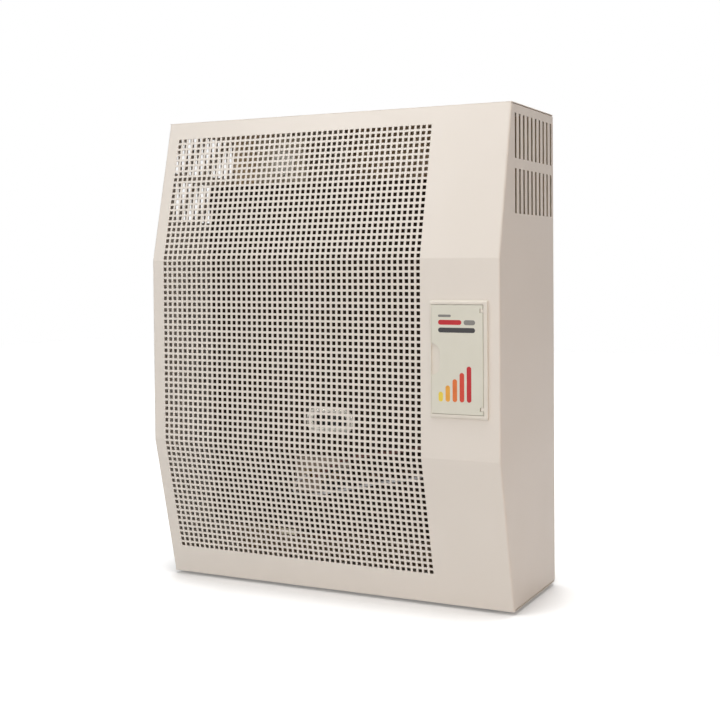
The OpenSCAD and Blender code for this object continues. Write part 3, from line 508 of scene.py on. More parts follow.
# The soft patches of light and dark on paint, metal and plastic
tree, got, give = group("clouds", {"Size": 0.1, "Contrast": 1.0}, "Mask")
place = put(tree, "TexCoord").outputs["Object"]
scale = maths(tree, "DIVIDE", 1.0, got["Size"])
noise = put(tree, "TexNoise", {"Vector": place, "Scale": scale, "Detail": 3.0})
tree.links.new(swing(tree, noise.outputs[0], got["Contrast"]), give["Mask"])

# The fine grain of paint, castings, plating and moulded plastic
tree, got, give = group("grain", {"Size": 1.0}, "Height")
place = put(tree, "TexCoord").outputs["Object"]
scale = maths(tree, "DIVIDE", 1 / MM, got["Size"])
noise = put(tree, "TexNoise", {"Vector": place, "Scale": scale, "Detail": 1.0})
tree.links.new(noise.outputs[0], give["Height"])


def coat(name, light, dark, patches, rough, relief, **shader):
    """A finish with soft patches, by their size in metres and contrast, and a fine grain, by its size,
    strength and depth in mm."""
    grain, bump, depth = relief
    return finish(name, light, dark, use("clouds", "Mask", size=patches[0], contrast=patches[1]), rough,
                  use("grain", "Height", size=grain), bump, depth, **shader)


plated_steel = coat("plated_steel", "c6c3bd", "a5a199", (0.006, 2.5), (0.22, 0.36), (0.35, 0.1, 0.02),
                    metallic=1.0)


def screw(radius, length, head_r, head_h):
    """A pan-head screw along +Y, its head in front of y = 0: its radius, length and head in mm."""
    shank = [(radius * 0.55, length), (radius, length - 0.6), (radius, 0)]
    head = [(head_r - 0.15, 0), (head_r, -0.15), (head_r, -0.45 * head_h), (head_r * 0.93, -0.7 * head_h),
            (head_r * 0.76, -0.9 * head_h), (head_r * 0.5, -head_h), (head_r * 0.2, -head_h)]
    o = turned("screw", shank + head, count=20)
    arm, deep, wide = head_r * 0.55, head_h * 0.5, head_r * 0.13
    cut(o, add("arm", "cube", (arm, deep, wide), (0, -head_h, 0)))
    return cut(o, add("arm", "cube", (wide, deep, arm), (0, -head_h, 0)))


def screws(name, node, pattern, places, turn=(0, 0, 0)):
    """Copies of one screw at its places, as one piece."""
    found = [copy(pattern, "screw", place, turn) for place in places]
    bpy.data.objects.remove(pattern)
    fit(smooth(join(name, *found)), "casing", node, "steel", plated_steel)


screws("foot_screws", "bracket_screws", screw(*FOOT_SCREW),
       [(x, FOOT_SCREW_Y, z) for x in FOOT_X for z in FOOT_Z])

# ---------------------------------------------------------------------------------------------
# Heat exchanger: the sealed combustion box, pressed and seam-welded from 1.5 mm steel and coated
# with matt black enamel. A welded seam runs round it near its top and bottom.
# ---------------------------------------------------------------------------------------------
EX_LOW, EX_HIGH = (-193.0, -164.0, -240.5), (140.0, -56.0, 225.5)
EX_CORNER, SEAM_OUT, SEAM_HALF, SEAM_IN = 8.0, 0.9, 1.3, 1.2

black_enamel = coat("matt_black_enamel", "39291a", "271b10", (0.03, 1.6), (0.55, 0.72), (0.7, 0.25, 0.06),
                    specular_ior_level=0.2)
exchanger = soften("exchanger_box", "heat_exchanger", 0.7)


def seam(z):
    """A raised welded seam round the box."""
    o = bar("seam", (EX_LOW[0] - SEAM_OUT, EX_LOW[1] - SEAM_OUT, z - SEAM_HALF),
            (EX_HIGH[0] + SEAM_OUT, EX_HIGH[1] + SEAM_OUT, z + SEAM_HALF))
    edit(o)
    pick(o, "edges", runs(2))
    bevel(EX_CORNER + SEAM_OUT, 6)
    bpy.ops.mesh.select_mode(type="FACE")
    pick(o, "faces", lambda f, c: abs(f.normal.z) > 0.9)
    bpy.ops.mesh.inset(thickness=(SEAM_OUT + SEAM_IN) * MM)
    bpy.ops.mesh.delete(type="FACE")
    bpy.ops.mesh.select_mode(type="EDGE")
    pick(o, "edges", lambda e, c: e.is_boundary)
    bpy.ops.mesh.bridge_edge_loops()
    turn_out()
    return ease(o, 0.5)


exchanger = join("exchanger_box", exchanger, seam(EX_LOW[2] + 4), seam(EX_HIGH[2] - 4))
fit(smooth(exchanger), "casing", "heat_exchanger", "black_enamel", black_enamel)

# ---------------------------------------------------------------------------------------------
# Flue hood and inspection cap: a folded galvanised box welded on the exchanger's top, with a
# round pressed zinc cap in its front that pulls out for sweeping.
# ---------------------------------------------------------------------------------------------
CAP_X, CAP_R, CAP_FRONT, CAP_BACK = -94.0, 17.0, -122.5, -120.0

# The hood's zinc is toned darker and warmer than the other sheet: partly heat dulling, partly painted shade
# and warm bounce from the casing's inside
dulled_shaded_zinc = coat("zinc_dulled_with_painted_shade", "cfc3ae", "a69983", (0.03, 1.8), (0.5, 0.66), (0.6, 0.15, 0.03),
                   metallic=0.45)
hood = soften("flue_hood_box", "flue_hood", 0.6)
fit(hood, "casing", "flue_hood", "galvanised", dulled_shaded_zinc)
bright_zinc = coat("bright_zinc", "f1ede2", "dcd7c9", (0.008, 1.8), (0.3, 0.42), (0.5, 0.1, 0.02),
                   metallic=0.35)
plug_out, plug_in, plug_back = CAP_R - 5.06, CAP_R - 7, -114.0
cap = turned("inspection_plug", [
    (2, -121.6), (6, -121.6), (7.5, -122.2), (CAP_R - 3, -122.2), (CAP_R - 1.5, CAP_FRONT),
    (CAP_R - 0.5, -122.2), (CAP_R, -121.6), (CAP_R, CAP_BACK), (plug_out, CAP_BACK), (plug_out, plug_back),
    (plug_in, plug_back), (plug_in, CAP_BACK + 0.6), (2, CAP_BACK + 0.6)], (CAP_X, 0, FLUE_Z), count=64)
fit(smooth(cap), "casing", "inspection_cap", "zinc", bright_zinc)

# ---------------------------------------------------------------------------------------------
# Sight window: heat resistant glass between a mineral fibre gasket and a bright pressed bezel,
# held on the exchanger's front by two screws.
# ---------------------------------------------------------------------------------------------
WINDOW_X, WINDOW_Z, WINDOW_FRONT, GLASS_FRONT, WINDOW_BACK = 1.5, -90.0, -170.5, -167.5, -165.5
WINDOW_HALF, SIGHT_HALF, POCKET_HALF = (35.0, 16.0), (25.0, 7.5), (29.0, 11.0)
WINDOW_ROUND, SIGHT_ROUND, POCKET_ROUND, RIM_ROUND = 12.0, 6.0, 8.0, 2.2
WINDOW_SCREW_X, WINDOW_SCREW = 31.0, (1.5, 10.0, 2.8, 1.6)

# The weave of the mineral fibre gaskets
tree, got, give = group("weave", {"Pitch": 0.001}, "Mask")
place = put(tree, "TexCoord").outputs["Object"]
turns = maths(tree, "DIVIDE", 1.0, got["Pitch"])
place = put(tree, "VectorMath", {0: place, "Scale": turns}, operation="SCALE").outputs[0]
axes = put(tree, "SeparateXYZ", {0: place}).outputs
waves = [maths(tree, "SINE", maths(tree, "MULTIPLY", axis, math.tau)) for axis in (axes[0], axes[2])]
value = maths(tree, "MULTIPLY", *waves)
tree.links.new(maths(tree, "MULTIPLY_ADD", value, 0.5, 0.5), give["Mask"])

fibre = finish("mineral_fibre", "e6e3d8", "bdb9ac", use("weave", "Mask", pitch=0.0012), (0.85, 0.95),
               use("weave", "Mask", pitch=0.0012), 0.6, 0.2)
bright_plate = coat("bright_plate", "fbf8ef", "f0ece2", (0.02, 1.2), (0.1, 0.18), (0.8, 0.08, 0.02),
                    metallic=0.8)
fit(soften("window_gasket", "sight_gasket", 0.25, 1), "casing", "sight_gasket", "gasket_fibre", fibre)


def window_block(name, half, corner, front, back):
    """A block with rounded corners in the window's place."""
    o = bar(name, (WINDOW_X - half[0], front, WINDOW_Z - half[1]),
            (WINDOW_X + half[0], back, WINDOW_Z + half[1]))
    edit(o)
    pick(o, "edges", runs(1, 0.5))
    bevel(corner, 8)
    leave()
    return o


bezel = window_block("window_bezel", WINDOW_HALF, WINDOW_ROUND, WINDOW_FRONT, WINDOW_BACK)
cut(bezel, window_block("opening", SIGHT_HALF, SIGHT_ROUND, WINDOW_FRONT - 1, WINDOW_BACK + 1))
edit(bezel)
weld()
pick(bezel, "edges", lambda e, c: folds(60)(e, c) and abs(c.y - WINDOW_FRONT) < 0.01)
bevel(RIM_ROUND, 4, clamp_overlap=False)
leave()
window_screw_at = [WINDOW_X + way * WINDOW_SCREW_X for way in (-1, 1)]
drills = [rod("drill", WINDOW_SCREW[0] + PLAY, (x, WINDOW_FRONT - 1, WINDOW_Z),
              (x, WINDOW_BACK + 1, WINDOW_Z), vertices=20) for x in window_screw_at]
cut(bezel, window_block("pocket", POCKET_HALF, POCKET_ROUND, GLASS_FRONT, WINDOW_BACK + 1), *drills)
fit(smooth(bezel), "casing", "sight_window_frame", "bright_metal", bright_plate)

# Clear glass with a haze of heat on it
glass = bpy.data.materials.new("window_glass")
glass.use_nodes = True
tree = glass.node_tree
bsdf = tree.nodes["Principled BSDF"]
bsdf.inputs["Transmission Weight"].default_value = 1.0
bsdf.inputs["IOR"].default_value = 1.47
haze = use("clouds", "Mask", size=0.015, contrast=2.0)(tree)
tint = put(tree, "Mix", {6: colour("c4cbc9"), 7: colour("a9a79d"), 0: haze}, data_type="RGBA")
tree.links.new(tint.outputs[2], bsdf.inputs["Base Color"])
shine = put(tree, "MapRange", {"Value": haze, "To Min": 0.02, "To Max": 0.16})
tree.links.new(shine.outputs[0], bsdf.inputs["Roughness"])
fit(soften("window_pane", "sight_glass", 0.3), "casing", "sight_glass", "glass", glass)
screws("window_screws", "sight_window_screws", screw(*WINDOW_SCREW),
       [(x, WINDOW_FRONT, WINDOW_Z) for x in window_screw_at])

# ---------------------------------------------------------------------------------------------
# Burner and its injector: a slotted steel tube that runs through the box, and a turned brass
# holder that feeds it gas and air at its right end.
# ---------------------------------------------------------------------------------------------
heat_steel = coat("heat_tinted_steel", "9a958c", "6f6a66", (0.02, 2.2), (0.35, 0.55), (0.5, 0.15, 0.03),
                  metallic=0.9)
brass = coat("machined_brass", "8f7d58", "6b5a3a", (0.01, 2.0), (0.2, 0.36), (0.4, 0.12, 0.02), metallic=1.0)
fit(soften("burner_pipe", "burner_tube", 0.25, 1), "casing", "burner_tube", "steel", heat_steel)
fit(soften("injector", "injector_holder", 0.4), "casing", "injector_holder", "brass", brass)

# ---------------------------------------------------------------------------------------------
# Burner access plate: folded galvanised sheet on a fibre gasket, with four screws. Its lips are
# bent forwards at the top and at the left.
# ---------------------------------------------------------------------------------------------
PLATE_X, PLATE_Z, PLATE_HALF, PLATE_FRONT = -11.0, -163.5, (39.0, 24.0), -166.7
PLATE_SCREW = (SCREW_R, 6.2, 3.2, 1.8)
PLATE_SCREWS = [(PLATE_X + a * (PLATE_HALF[0] - 5.5), PLATE_FRONT, PLATE_Z + b * (PLATE_HALF[1] - 5))
                for a in (-1, 1) for b in (-1, 1)]

fit(soften("plate_gasket", "access_plate_gasket", 0.25, 1), "casing", "access_plate_gasket", "gasket_fibre",
    fibre)

# Painted shade over the lower right of the plate, with its top and left bands kept light as painted light
tree, got, give = group("plate_shade", {"Left": 0.0, "Top": 0.0, "Blur": 0.004}, "Mask")
place = put(tree, "TexCoord").outputs["Object"]
ragged = put(tree, "TexNoise", {"Vector": place, "Scale": 180.0, "Detail": 3.0}).outputs["Fac"]
axes = put(tree, "SeparateXYZ", {0: place}).outputs
shares = []
for axis, edge, way in ((axes[0], got["Left"], 1), (axes[2], got["Top"], -1)):
    depth = maths(tree, "MULTIPLY", maths(tree, "SUBTRACT", axis, edge), way)
    depth = maths(tree, "ADD", maths(tree, "DIVIDE", depth, got["Blur"]), ragged)
    shares.append(maths(tree, "SUBTRACT", depth, 0.5, use_clamp=True))
tree.links.new(maths(tree, "MULTIPLY", *shares), give["Mask"])

# The dark lower right is painted shade, and the light top and left bands are painted light
zinc_with_painted_shade = finish("zinc_with_painted_shade", "a29484", "231c15",
                    use("plate_shade", "Mask", left=-0.014, top=-0.1495, blur=0.003), (0.4, 0.62),
                    use("grain", "Height", size=0.5), 0.15, 0.03, metallic=0.4)
fit(soften("access_plate", "burner_access_plate", 0.3), "casing", "burner_access_plate", "galvanised",
    zinc_with_painted_shade)
screws("plate_screws", "access_plate_screws", screw(*PLATE_SCREW), PLATE_SCREWS)

# ---------------------------------------------------------------------------------------------
# Pilot burner, ignition electrode, thermocouple and their nuts, which pass through the access
# plate: a brass jet, a glazed ceramic stem with a steel tip, and a copper probe.
# ---------------------------------------------------------------------------------------------
PROBE_X, PROBE_R, NUT_T = (-19.0, 1.0, 21.0), (4.0, 3.5, 3.0), 5.0


def nut(flats, bore, start, end, at, turn=(-90, 0, 0)):
    """A hexagon nut with chamfered corners and a countersunk bore, from start to end along its axis."""
    corner = flats / 2 / math.cos(math.pi / 6)
    slope = (corner - flats / 2) * 0.6
    o = add("nut", "cylinder", (corner, corner, (end - start) / 2), (0, 0, (start + end) / 2), (0, 0, 30),
            vertices=6)
    cone = turned("cone", [(flats / 2 - 0.1, start), (corner, start + slope), (corner, end - slope),
                           (flats / 2 - 0.1, end)], turn=(0, 0, 0), count=36)
    apply(o, "BOOLEAN", operation="INTERSECT", solver="EXACT", object=cone)
    bpy.data.objects.remove(cone)
    bore_tool = turned("bore", [(bore + 1.6, start - 1), (bore, start + 0.6), (bore, end - 0.6),
                                (bore + 1.6, end + 1)], turn=(0, 0, 0), count=36)
    return settle(cut(o, bore_tool), at, turn)


ceramic = coat("glazed_ceramic", "f4f1e8", "e5dfcf", (0.01, 2.0), (0.08, 0.16), (1.2, 0.1, 0.02),
               coat_weight=0.4)
copper = coat("drawn_copper", "6f5847", "4e3c30", (0.02, 2.2), (0.24, 0.42), (0.5, 0.12, 0.02), metallic=1.0)
stem_end, tip_y, tip_top = -175.7, -132.0, -147.5
jet = turned("jet", [
    (2, stem_end), (3.6, stem_end), (4, stem_end + 0.4), (4, tip_y + 2.5), (3.2, tip_y + 3.7),
    (1.5, tip_y + 4)], (PLATE_X + PROBE_X[0], 0, PLATE_Z), count=32)
head = turned("head", [
    (2, PLATE_Z), (4, PLATE_Z), (4, tip_top - 4), (3.4, tip_top - 3.2), (3.4, tip_top - 0.4), (3, tip_top),
    (1.4, tip_top), (1.2, tip_top - 3), (0.5, tip_top - 3)], (PLATE_X + PROBE_X[0], tip_y, 0), (0, 0, 0), 32)
jet = merge("pilot_jet", jet, head)
fit(smooth(jet), "casing", "pilot_burner", "brass", brass)
fit(soften("electrode", "ignition_electrode", 0.3), "casing", "ignition_electrode", "ceramic", ceramic)
nuts = [nut(2 * r + 7, r + PLAY, PLATE_FRONT - NUT_T, PLATE_FRONT, (PLATE_X + x, 0, PLATE_Z))
        for x, r in zip(PROBE_X, PROBE_R)]
fit(smooth(join("probe_hex_nuts", *nuts)), "casing", "probe_nuts", "brass", brass)

# ---------------------------------------------------------------------------------------------
# Thermocouple, pilot tube and ignition lead: a copper capillary, a 4 mm aluminium tube and a
# high voltage lead in a silicone sleeve, bent by hand from the access plate to the controls.
# ---------------------------------------------------------------------------------------------
PROBE_TIP, PROBE_END, WIRE_R, PILOT_R, LEAD_R = -126.0, -178.7, 1.3, 2.0, 2.3


def tube(name, points, radius, steps=8):
    """A round tube, straight at both ends and smooth through its points between them, in mm."""
    points = [Vector(p) for p in points]
    line = [points[0]]
    for a, b, c, d in zip(points, points[1:], points[2:], points[3:]):
        for u in (i / steps for i in range(steps)):
            line.append(0.5 * (2 * b + (c - a) * u + (2 * a - 5 * b + 4 * c - d) * u * u
                               + (3 * b - a - 3 * c + d) * u ** 3))
    line += points[-2:]
    return wire(name, line, radius)


def wire(name, line, radius):
    """A round bar along a line of points in mm."""
    clear()
    data = bpy.data.curves.new(name, "CURVE")
    data.dimensions, data.bevel_depth, data.bevel_resolution, data.use_fill_caps = "3D", radius * MM, 3, True
    spline = data.splines.new("POLY")
    spline.points.add(len(line) - 1)
    for point, place in zip(spline.points, line):
        point.co = (*[p * MM for p in place], 1)
    o = bpy.data.objects.new(name, data)
    bpy.context.scene.collection.objects.link(o)
    take(o)
    bpy.ops.object.convert(target="MESH")
    o = bpy.context.object
    o.name = o.data.name = name
    edit(o)
    weld(0.001)
    turn_out()
    return o


probe = turned("probe", [(1.2, PROBE_TIP), (2.4, PROBE_TIP - 0.7), (3, PROBE_TIP - 2), (3, PROBE_END + 0.5),
                         (2.5, PROBE_END), (1, PROBE_END)], (PLATE_X + PROBE_X[2], 0, PLATE_Z), count=24)
lead = tube("thermocouple_wire", [
    (10, -176.7, -163.5), (10, -183.7, -163.5), (23, -183.7, -161.5), (100, -176.7, -151.5),
    (143, -172.7, -139.5), (153, -152, -113.5), (154, -134.5, -95), (169.15, -102.5, -87),
    (197.15, -88.5, -44), (205.15, -94.5, -20), (205.15, -104.5, -20)], WIRE_R)
thermocouple = join("thermocouple_lead", lead, probe)
fit(smooth(thermocouple, 40), "casing", "thermocouple", "copper", copper)

aluminium = coat("drawn_aluminium", "e9e9ea", "cfcfd2", (0.015, 1.8), (0.3, 0.44), (0.4, 0.1, 0.02),
                 metallic=0.3)
silicone = coat("silicone_sleeve", "85594d", "6b443a", (0.01, 1.6), (0.45, 0.58), (0.5, 0.25, 0.04))
pilot = tube("pilot_pipe", [
    (-30, -175.7, -163.5), (-30, -179.7, -163.5), (-40, -184.7, -171.5), (-42, -184.7, -185.5),
    (-10, -183.7, -185.5), (80, -175.7, -165.5), (132, -173.7, -155.5), (156, -150, -141.5),
    (181.15, -124.5, -114), (189.15, -126.5, -92), (189.15, -126.5, -80)], PILOT_R)
fit(smooth(pilot, 40), "casing", "pilot_tube", "tube_aluminium", aluminium)
spark_lead = tube("spark_lead", [
    (-10, -179.7, -163.5), (-10, -184.7, -163.5), (2, -186.7, -154.5), (39, -178.7, -135.5),
    (100, -173.7, -124.5), (144, -169, -112.5), (153, -150, -73.5), (153, -144, 4), (155.15, -130, 31),
    (171.15, -130, 34), (193.15, -128, 34), (205.15, -134, 34), (205.15, -142, 34)], LEAD_R)
fit(smooth(spark_lead, 40), "casing", "ignition_lead", "lead_sleeve", silicone)

# ---------------------------------------------------------------------------------------------
# Gas valve on its bracket: a die-cast body screwed behind a folded galvanised plate, with the
# thermocouple's brass magnet unit in its back.
# ---------------------------------------------------------------------------------------------
CTRL_X, CTRL_FACE, KNOB_Z = 205.15, -176.0, -22.0
VALVE_SCREW = (2.0, 9.5, 3.5, 2.2)
VALVE_SCREWS = [(CTRL_X + side * 22, CTRL_FACE, z) for side in (-1, 1) for z in (-64, 10)]

casting = coat("die_casting", "c3c5c8", "9ea1a5", (0.012, 1.8), (0.4, 0.56), (0.9, 0.3, 0.06), metallic=0.9)
fit(soften("control_plate", "control_bracket", 0.3), "casing", "control_bracket", "galvanised", galvanised)
fit(soften("valve_body", "gas_valve", 0.8, 3), "casing", "gas_valve", "valve_casting", casting)
fit(soften("magnet_holder", "magnet_unit", 0.4), "casing", "magnet_unit", "brass", brass)
screws("valve_plate_screws", "valve_screws", screw(*VALVE_SCREW), VALVE_SCREWS)

# ---------------------------------------------------------------------------------------------
# Valve spindle, spring and control knob: a steel shaft with a flat, a coil spring round it, and
# a black moulded knob with a fluted grip, a skirt and a white pointer let into its face.
# ---------------------------------------------------------------------------------------------
KNOB_FRONT, KNOB_BACK, KNOB_R, SKIRT_FRONT = -203.0, -183.0, 19.0, -187.0
GRIPS, GRIP_R, SPINDLE_R, HUB_BACK, HUB_R = 24, 0.8, 4.0, -189.0, 8.5
SPRING_R, SPRING_WIRE, SPRING_TURNS, KNOB_TRAVEL, BOSS_FRONT = 6.6, 0.5, 5, 5.0, -177.5


def coil(name, radius, thick, start, end, turns, at):
    """A coil spring round the Y axis, with its ends flat."""
    count, low, high = turns * 24, start + thick, end - thick
    line = []
    for i in range(count + 1):
        turn, share = math.tau * turns * i / count, min(max((i / count - 0.08) / 0.84, 0), 1)
        x, z = at[0] + radius * math.cos(turn), at[2] + radius * math.sin(turn)
        line.append((x, low + (high - low) * share, z))
    return smooth(wire(name, line, thick), 50)


fit(soften("spindle", "valve_spindle", 0.25), "valve_spindle", "valve_spindle", "steel", plated_steel)
spring = coil("knob_coil", SPRING_R, SPRING_WIRE, HUB_BACK, BOSS_FRONT, SPRING_TURNS, (CTRL_X, 0, KNOB_Z))
fit(spring, "casing", "knob_spring", "steel", plated_steel)
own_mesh(spring)

black_plastic = coat("black_moulding", "26272a", "1d1e20", (0.01, 1.5), (0.34, 0.44), (0.6, 0.2, 0.05))
white_inlay = coat("white_inlay", "f2f1ec", "e4e2da", (0.01, 1.0), (0.3, 0.4), (0.5, 0.1, 0.02))
grip = KNOB_R - 1.5
knob = turned("knob", [
    (1, KNOB_FRONT + 0.5), (11, KNOB_FRONT + 0.5), (12.6, KNOB_FRONT + 0.1), (13.6, KNOB_FRONT),
    (16.2, KNOB_FRONT), (17.1, KNOB_FRONT + 0.35), (grip, KNOB_FRONT + 1.2), (grip, SKIRT_FRONT - 0.7),
    (grip + 0.3, SKIRT_FRONT - 0.2), (KNOB_R - 0.6, SKIRT_FRONT), (KNOB_R, SKIRT_FRONT + 0.6),
    (KNOB_R, KNOB_BACK - 0.4), (KNOB_R - 0.4, KNOB_BACK), (HUB_R + 0.4, KNOB_BACK), (HUB_R, KNOB_BACK - 0.4),
    (HUB_R, HUB_BACK), (SPINDLE_R + 0.05, HUB_BACK), (SPINDLE_R + 0.05, KNOB_FRONT + 2),
    (1, KNOB_FRONT + 2)], (CTRL_X, 0, KNOB_Z), count=96)
flutes = []
for i in range(GRIPS):
    turn = math.tau * (i + 0.5) / GRIPS
    x, z = CTRL_X + grip * math.cos(turn), KNOB_Z + grip * math.sin(turn)
    flutes.append(rod("flute", GRIP_R, (x, KNOB_FRONT - 1, z), (x, SKIRT_FRONT - 0.8, z), vertices=16))
cut(knob, *flutes)
cut(knob, bar("groove", (CTRL_X - 1, KNOB_FRONT - 1, KNOB_Z + 10),
              (CTRL_X + 1, KNOB_FRONT + 0.8, KNOB_Z + 16.4)))
edit(knob)
weld(0.02)
leave()
pointer = bar("pointer", (CTRL_X - 0.95, KNOB_FRONT + 0.2, KNOB_Z + 10.05),
              (CTRL_X + 0.95, KNOB_FRONT + 0.79, KNOB_Z + 16.35))
pointer = dress(ease(pointer, 0.12, 1), white_inlay)
knob = join("knob", dress(knob, black_plastic), pointer)
fit(smooth(knob, 40), "control_knob", "control_knob", "knob_plastic")

# ---------------------------------------------------------------------------------------------
# Piezo igniter: a black moulded barrel clamped in the bracket by a steel nut, with a red button
# that is pushed in against a coil spring.
# ---------------------------------------------------------------------------------------------
PIEZO_Z, PIEZO_R, RING_FLATS, BUTTON_R, BUTTON_FRONT, BUTTON_TRAVEL = 34.0, 8.0, 22.0, 5.5, -190.0, 7.0
PIEZO_SPRING_R, PIEZO_WIRE, PIEZO_TURNS = 4.6, 0.45, 6
FLANGE_R, FLANGE_FRONT, FLANGE_BACK, PIEZO_FLOOR = 6.75, -173.8, -171.0, -154.0

fit(soften("piezo_barrel", "piezo_igniter", 0.35), "casing", "piezo_igniter", "knob_plastic", black_plastic)
ring = nut(RING_FLATS, PIEZO_R + PLAY, CTRL_FACE + 1.5, CTRL_FACE + 5.5, (CTRL_X, 0, PIEZO_Z))
fit(smooth(join("piezo_ring_nut", ring)), "casing", "piezo_nut", "steel", plated_steel)
spring = coil("button_coil", PIEZO_SPRING_R, PIEZO_WIRE, FLANGE_BACK, PIEZO_FLOOR, PIEZO_TURNS,
              (CTRL_X, 0, PIEZO_Z))
fit(spring, "casing", "piezo_spring", "steel", plated_steel)
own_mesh(spring)
red_plastic = coat("red_moulding", "b5261f", "a01d18", (0.006, 1.4), (0.2, 0.3), (0.6, 0.12, 0.03))
button = turned("button", [
    (1, BUTTON_FRONT + 0.45), (3, BUTTON_FRONT + 0.35), (4.2, BUTTON_FRONT), (4.8, BUTTON_FRONT + 0.1),
    (5.3, BUTTON_FRONT + 0.5), (BUTTON_R, BUTTON_FRONT + 1.1), (BUTTON_R, FLANGE_FRONT),
    (FLANGE_R, FLANGE_FRONT), (FLANGE_R, FLANGE_BACK), (1, FLANGE_BACK)], (CTRL_X, 0, PIEZO_Z), count=40)
fit(smooth(button, 40), "piezo_button", "piezo_button", "button_red", red_plastic)

# ---------------------------------------------------------------------------------------------
# Gas pipes: a bent copper pipe from the valve to the injector, and the steel inlet with its half
# inch pipe thread, held to the valve by a brass union nut.
# ---------------------------------------------------------------------------------------------
INLET_X, INLET_Y, INLET_END, INLET_TOP = 219.15, -136.5, -315.0, -80.0
THREAD_R, THREAD_ROOT, THREAD_PITCH, THREAD_LENGTH = 10.45, 9.3, 1.814, 18.0
INLET_R, INLET_BORE, SEAT_R, SUPPLY_R, UNION_FLATS = 8.95, 6.45, 10.45, 4.9, 26.4

supply = tube("supply_pipe", [
    (191.15, -156.5, -80), (191.15, -156.5, -102), (191.15, -154.5, -140), (191.15, -112, -174.5),
    (182.15, -110, -196.5), (170, -110, -200.5), (157, -110, -200.5)], SUPPLY_R, 10)
fit(smooth(supply, 40), "casing", "gas_supply_pipe", "copper", copper)
rings = [(INLET_BORE, INLET_END + 0.5), (INLET_BORE + 0.5, INLET_END), (THREAD_ROOT - 0.2, INLET_END)]
z = INLET_END + 0.5
while z < INLET_END + THREAD_LENGTH - THREAD_PITCH:
    rings += [(THREAD_ROOT, z), (THREAD_R, z + 0.62), (THREAD_R, z + 0.88), (THREAD_ROOT, z + 1.5)]
    z += THREAD_PITCH
rings += [(INLET_R, z + 0.3), (INLET_R, INLET_TOP), (INLET_BORE, INLET_TOP), (INLET_BORE, INLET_END + 0.5)]
inlet = turned("inlet_pipe", rings, (INLET_X, INLET_Y, 0), (0, 0, 0))
fit(smooth(inlet, 25), "casing", "gas_inlet_pipe", "steel", plated_steel)
union = nut(UNION_FLATS, INLET_R + PLAY, INLET_TOP - 16, INLET_TOP + 7, (INLET_X, INLET_Y, 0), (0, 0, 0))
cut(union, rod("seat", SEAT_R + PLAY, (INLET_X, INLET_Y, INLET_TOP - 0.3), (INLET_X, INLET_Y, INLET_TOP + 8),
               "z", 48))
fit(smooth(join("union_hex_nut", union)), "casing", "union_nut", "brass", brass)

# ---------------------------------------------------------------------------------------------
# Thermostat: a copper bulb in a yellow passivated clip under the exchanger, and the capillary
# that joins it to the valve.
# ---------------------------------------------------------------------------------------------
BULB_Y, BULB_Z, BULB_LEFT, BULB_RIGHT, BULB_R, CAPILLARY_R = -152.0, -248.5, -80.0, 10.0, 5.0, 1.0

bulb = turned("bulb", [
    (1.5, BULB_LEFT), (3.6, BULB_LEFT + 0.4), (4.6, BULB_LEFT + 1.3), (BULB_R, BULB_LEFT + 2.8),
    (BULB_R, BULB_RIGHT - 3), (4.5, BULB_RIGHT - 1.2), (3, BULB_RIGHT - 0.2), (2, BULB_RIGHT + 0.6),
    (2, BULB_RIGHT + 6), (1, BULB_RIGHT + 6)], (0, BULB_Y, BULB_Z), (0, 90, 0), 32)
fit(smooth(bulb, 40), "casing", "thermostat_bulb", "copper", copper)
capillary = tube("capillary", [
    (16, -152, -248.5), (24, -152, -248.5), (110, -150, -252.5), (162, -146, -238.5),
    (199.15, -146.5, -188.5), (205.15, -130.5, -110), (205.15, -130.5, -80),
    (205.15, -130.5, -72)], CAPILLARY_R)
fit(smooth(capillary, 40), "casing", "thermostat_capillary", "copper", copper)
clip_metal = coat("yellow_passivated_spring", "eee8cf", "dcd3b0", (0.008, 2.0), (0.24, 0.4),
                  (0.5, 0.12, 0.02), metallic=0.2)
fit(soften("bulb_spring_clip", "bulb_clip", 0.4), "casing", "bulb_clip", "clip_brass", clip_metal)

# ---------------------------------------------------------------------------------------------
# Top and bottom panels: 1 mm sheet in the casing's cream powder coat. The bottom one has a row
# of air slots and a round opening for the gas pipe.
# ---------------------------------------------------------------------------------------------
RIGHT, TOP, EDGE_DEPTH, SHEET = 257.0, 317.5, 160.0, 1.0
AIR_SLOTS, AIR_SLOT_W, AIR_SLOT_PITCH, AIR_SLOT_Y, AIR_SLOT_ROUND = 15, 6.0, 26.0, (-136.0, -30.0), 2.8
GAS_HOLE_R, SIDE_SCREW_X, SIDE_SCREW_Y = 16.45, 249.0, (-40.0, -120.0)
CASING_SCREWS = [(x, REAR_SCREW_Y, -TOP) for x in REAR_SCREW_X] + [
    (side * SIDE_SCREW_X, y, -TOP) for side in (-1, 1) for y in SIDE_SCREW_Y]

cream_paint = coat("cream_powder_coat", "e9e1d8", "e4dcd2", (0.12, 1.0), (0.34, 0.44), (1.1, 0.12, 0.05))
top = ease(bar("top_sheet", (-RIGHT, -EDGE_DEPTH, LID_Z), (RIGHT, 0, TOP)), 0.35, 3)
fit(smooth(top), "casing", "top_panel", "casing_paint", cream_paint)
bottom = ease(bar("bottom_sheet", (-RIGHT, -EDGE_DEPTH, -TOP), (RIGHT, 0, -LID_Z)), 0.35, 3)
tools = [drill_up(GAS_HOLE_R, INLET_X, INLET_Y, 64)]
tools += [drill_up(SCREW_R + WIDE_PLAY, x, y) for x, y, z in CASING_SCREWS]
for i in range(AIR_SLOTS):
    x = (i - AIR_SLOTS // 2) * AIR_SLOT_PITCH
    slot = bar("slot", (x - AIR_SLOT_W / 2, AIR_SLOT_Y[0], DRILL_LOW),
               (x + AIR_SLOT_W / 2, AIR_SLOT_Y[1], DRILL_HIGH))
    edit(slot)
    pick(slot, "edges", runs(2))
    bevel(AIR_SLOT_ROUND, 6)
    tools.append(slot)
cut(bottom, *tools)
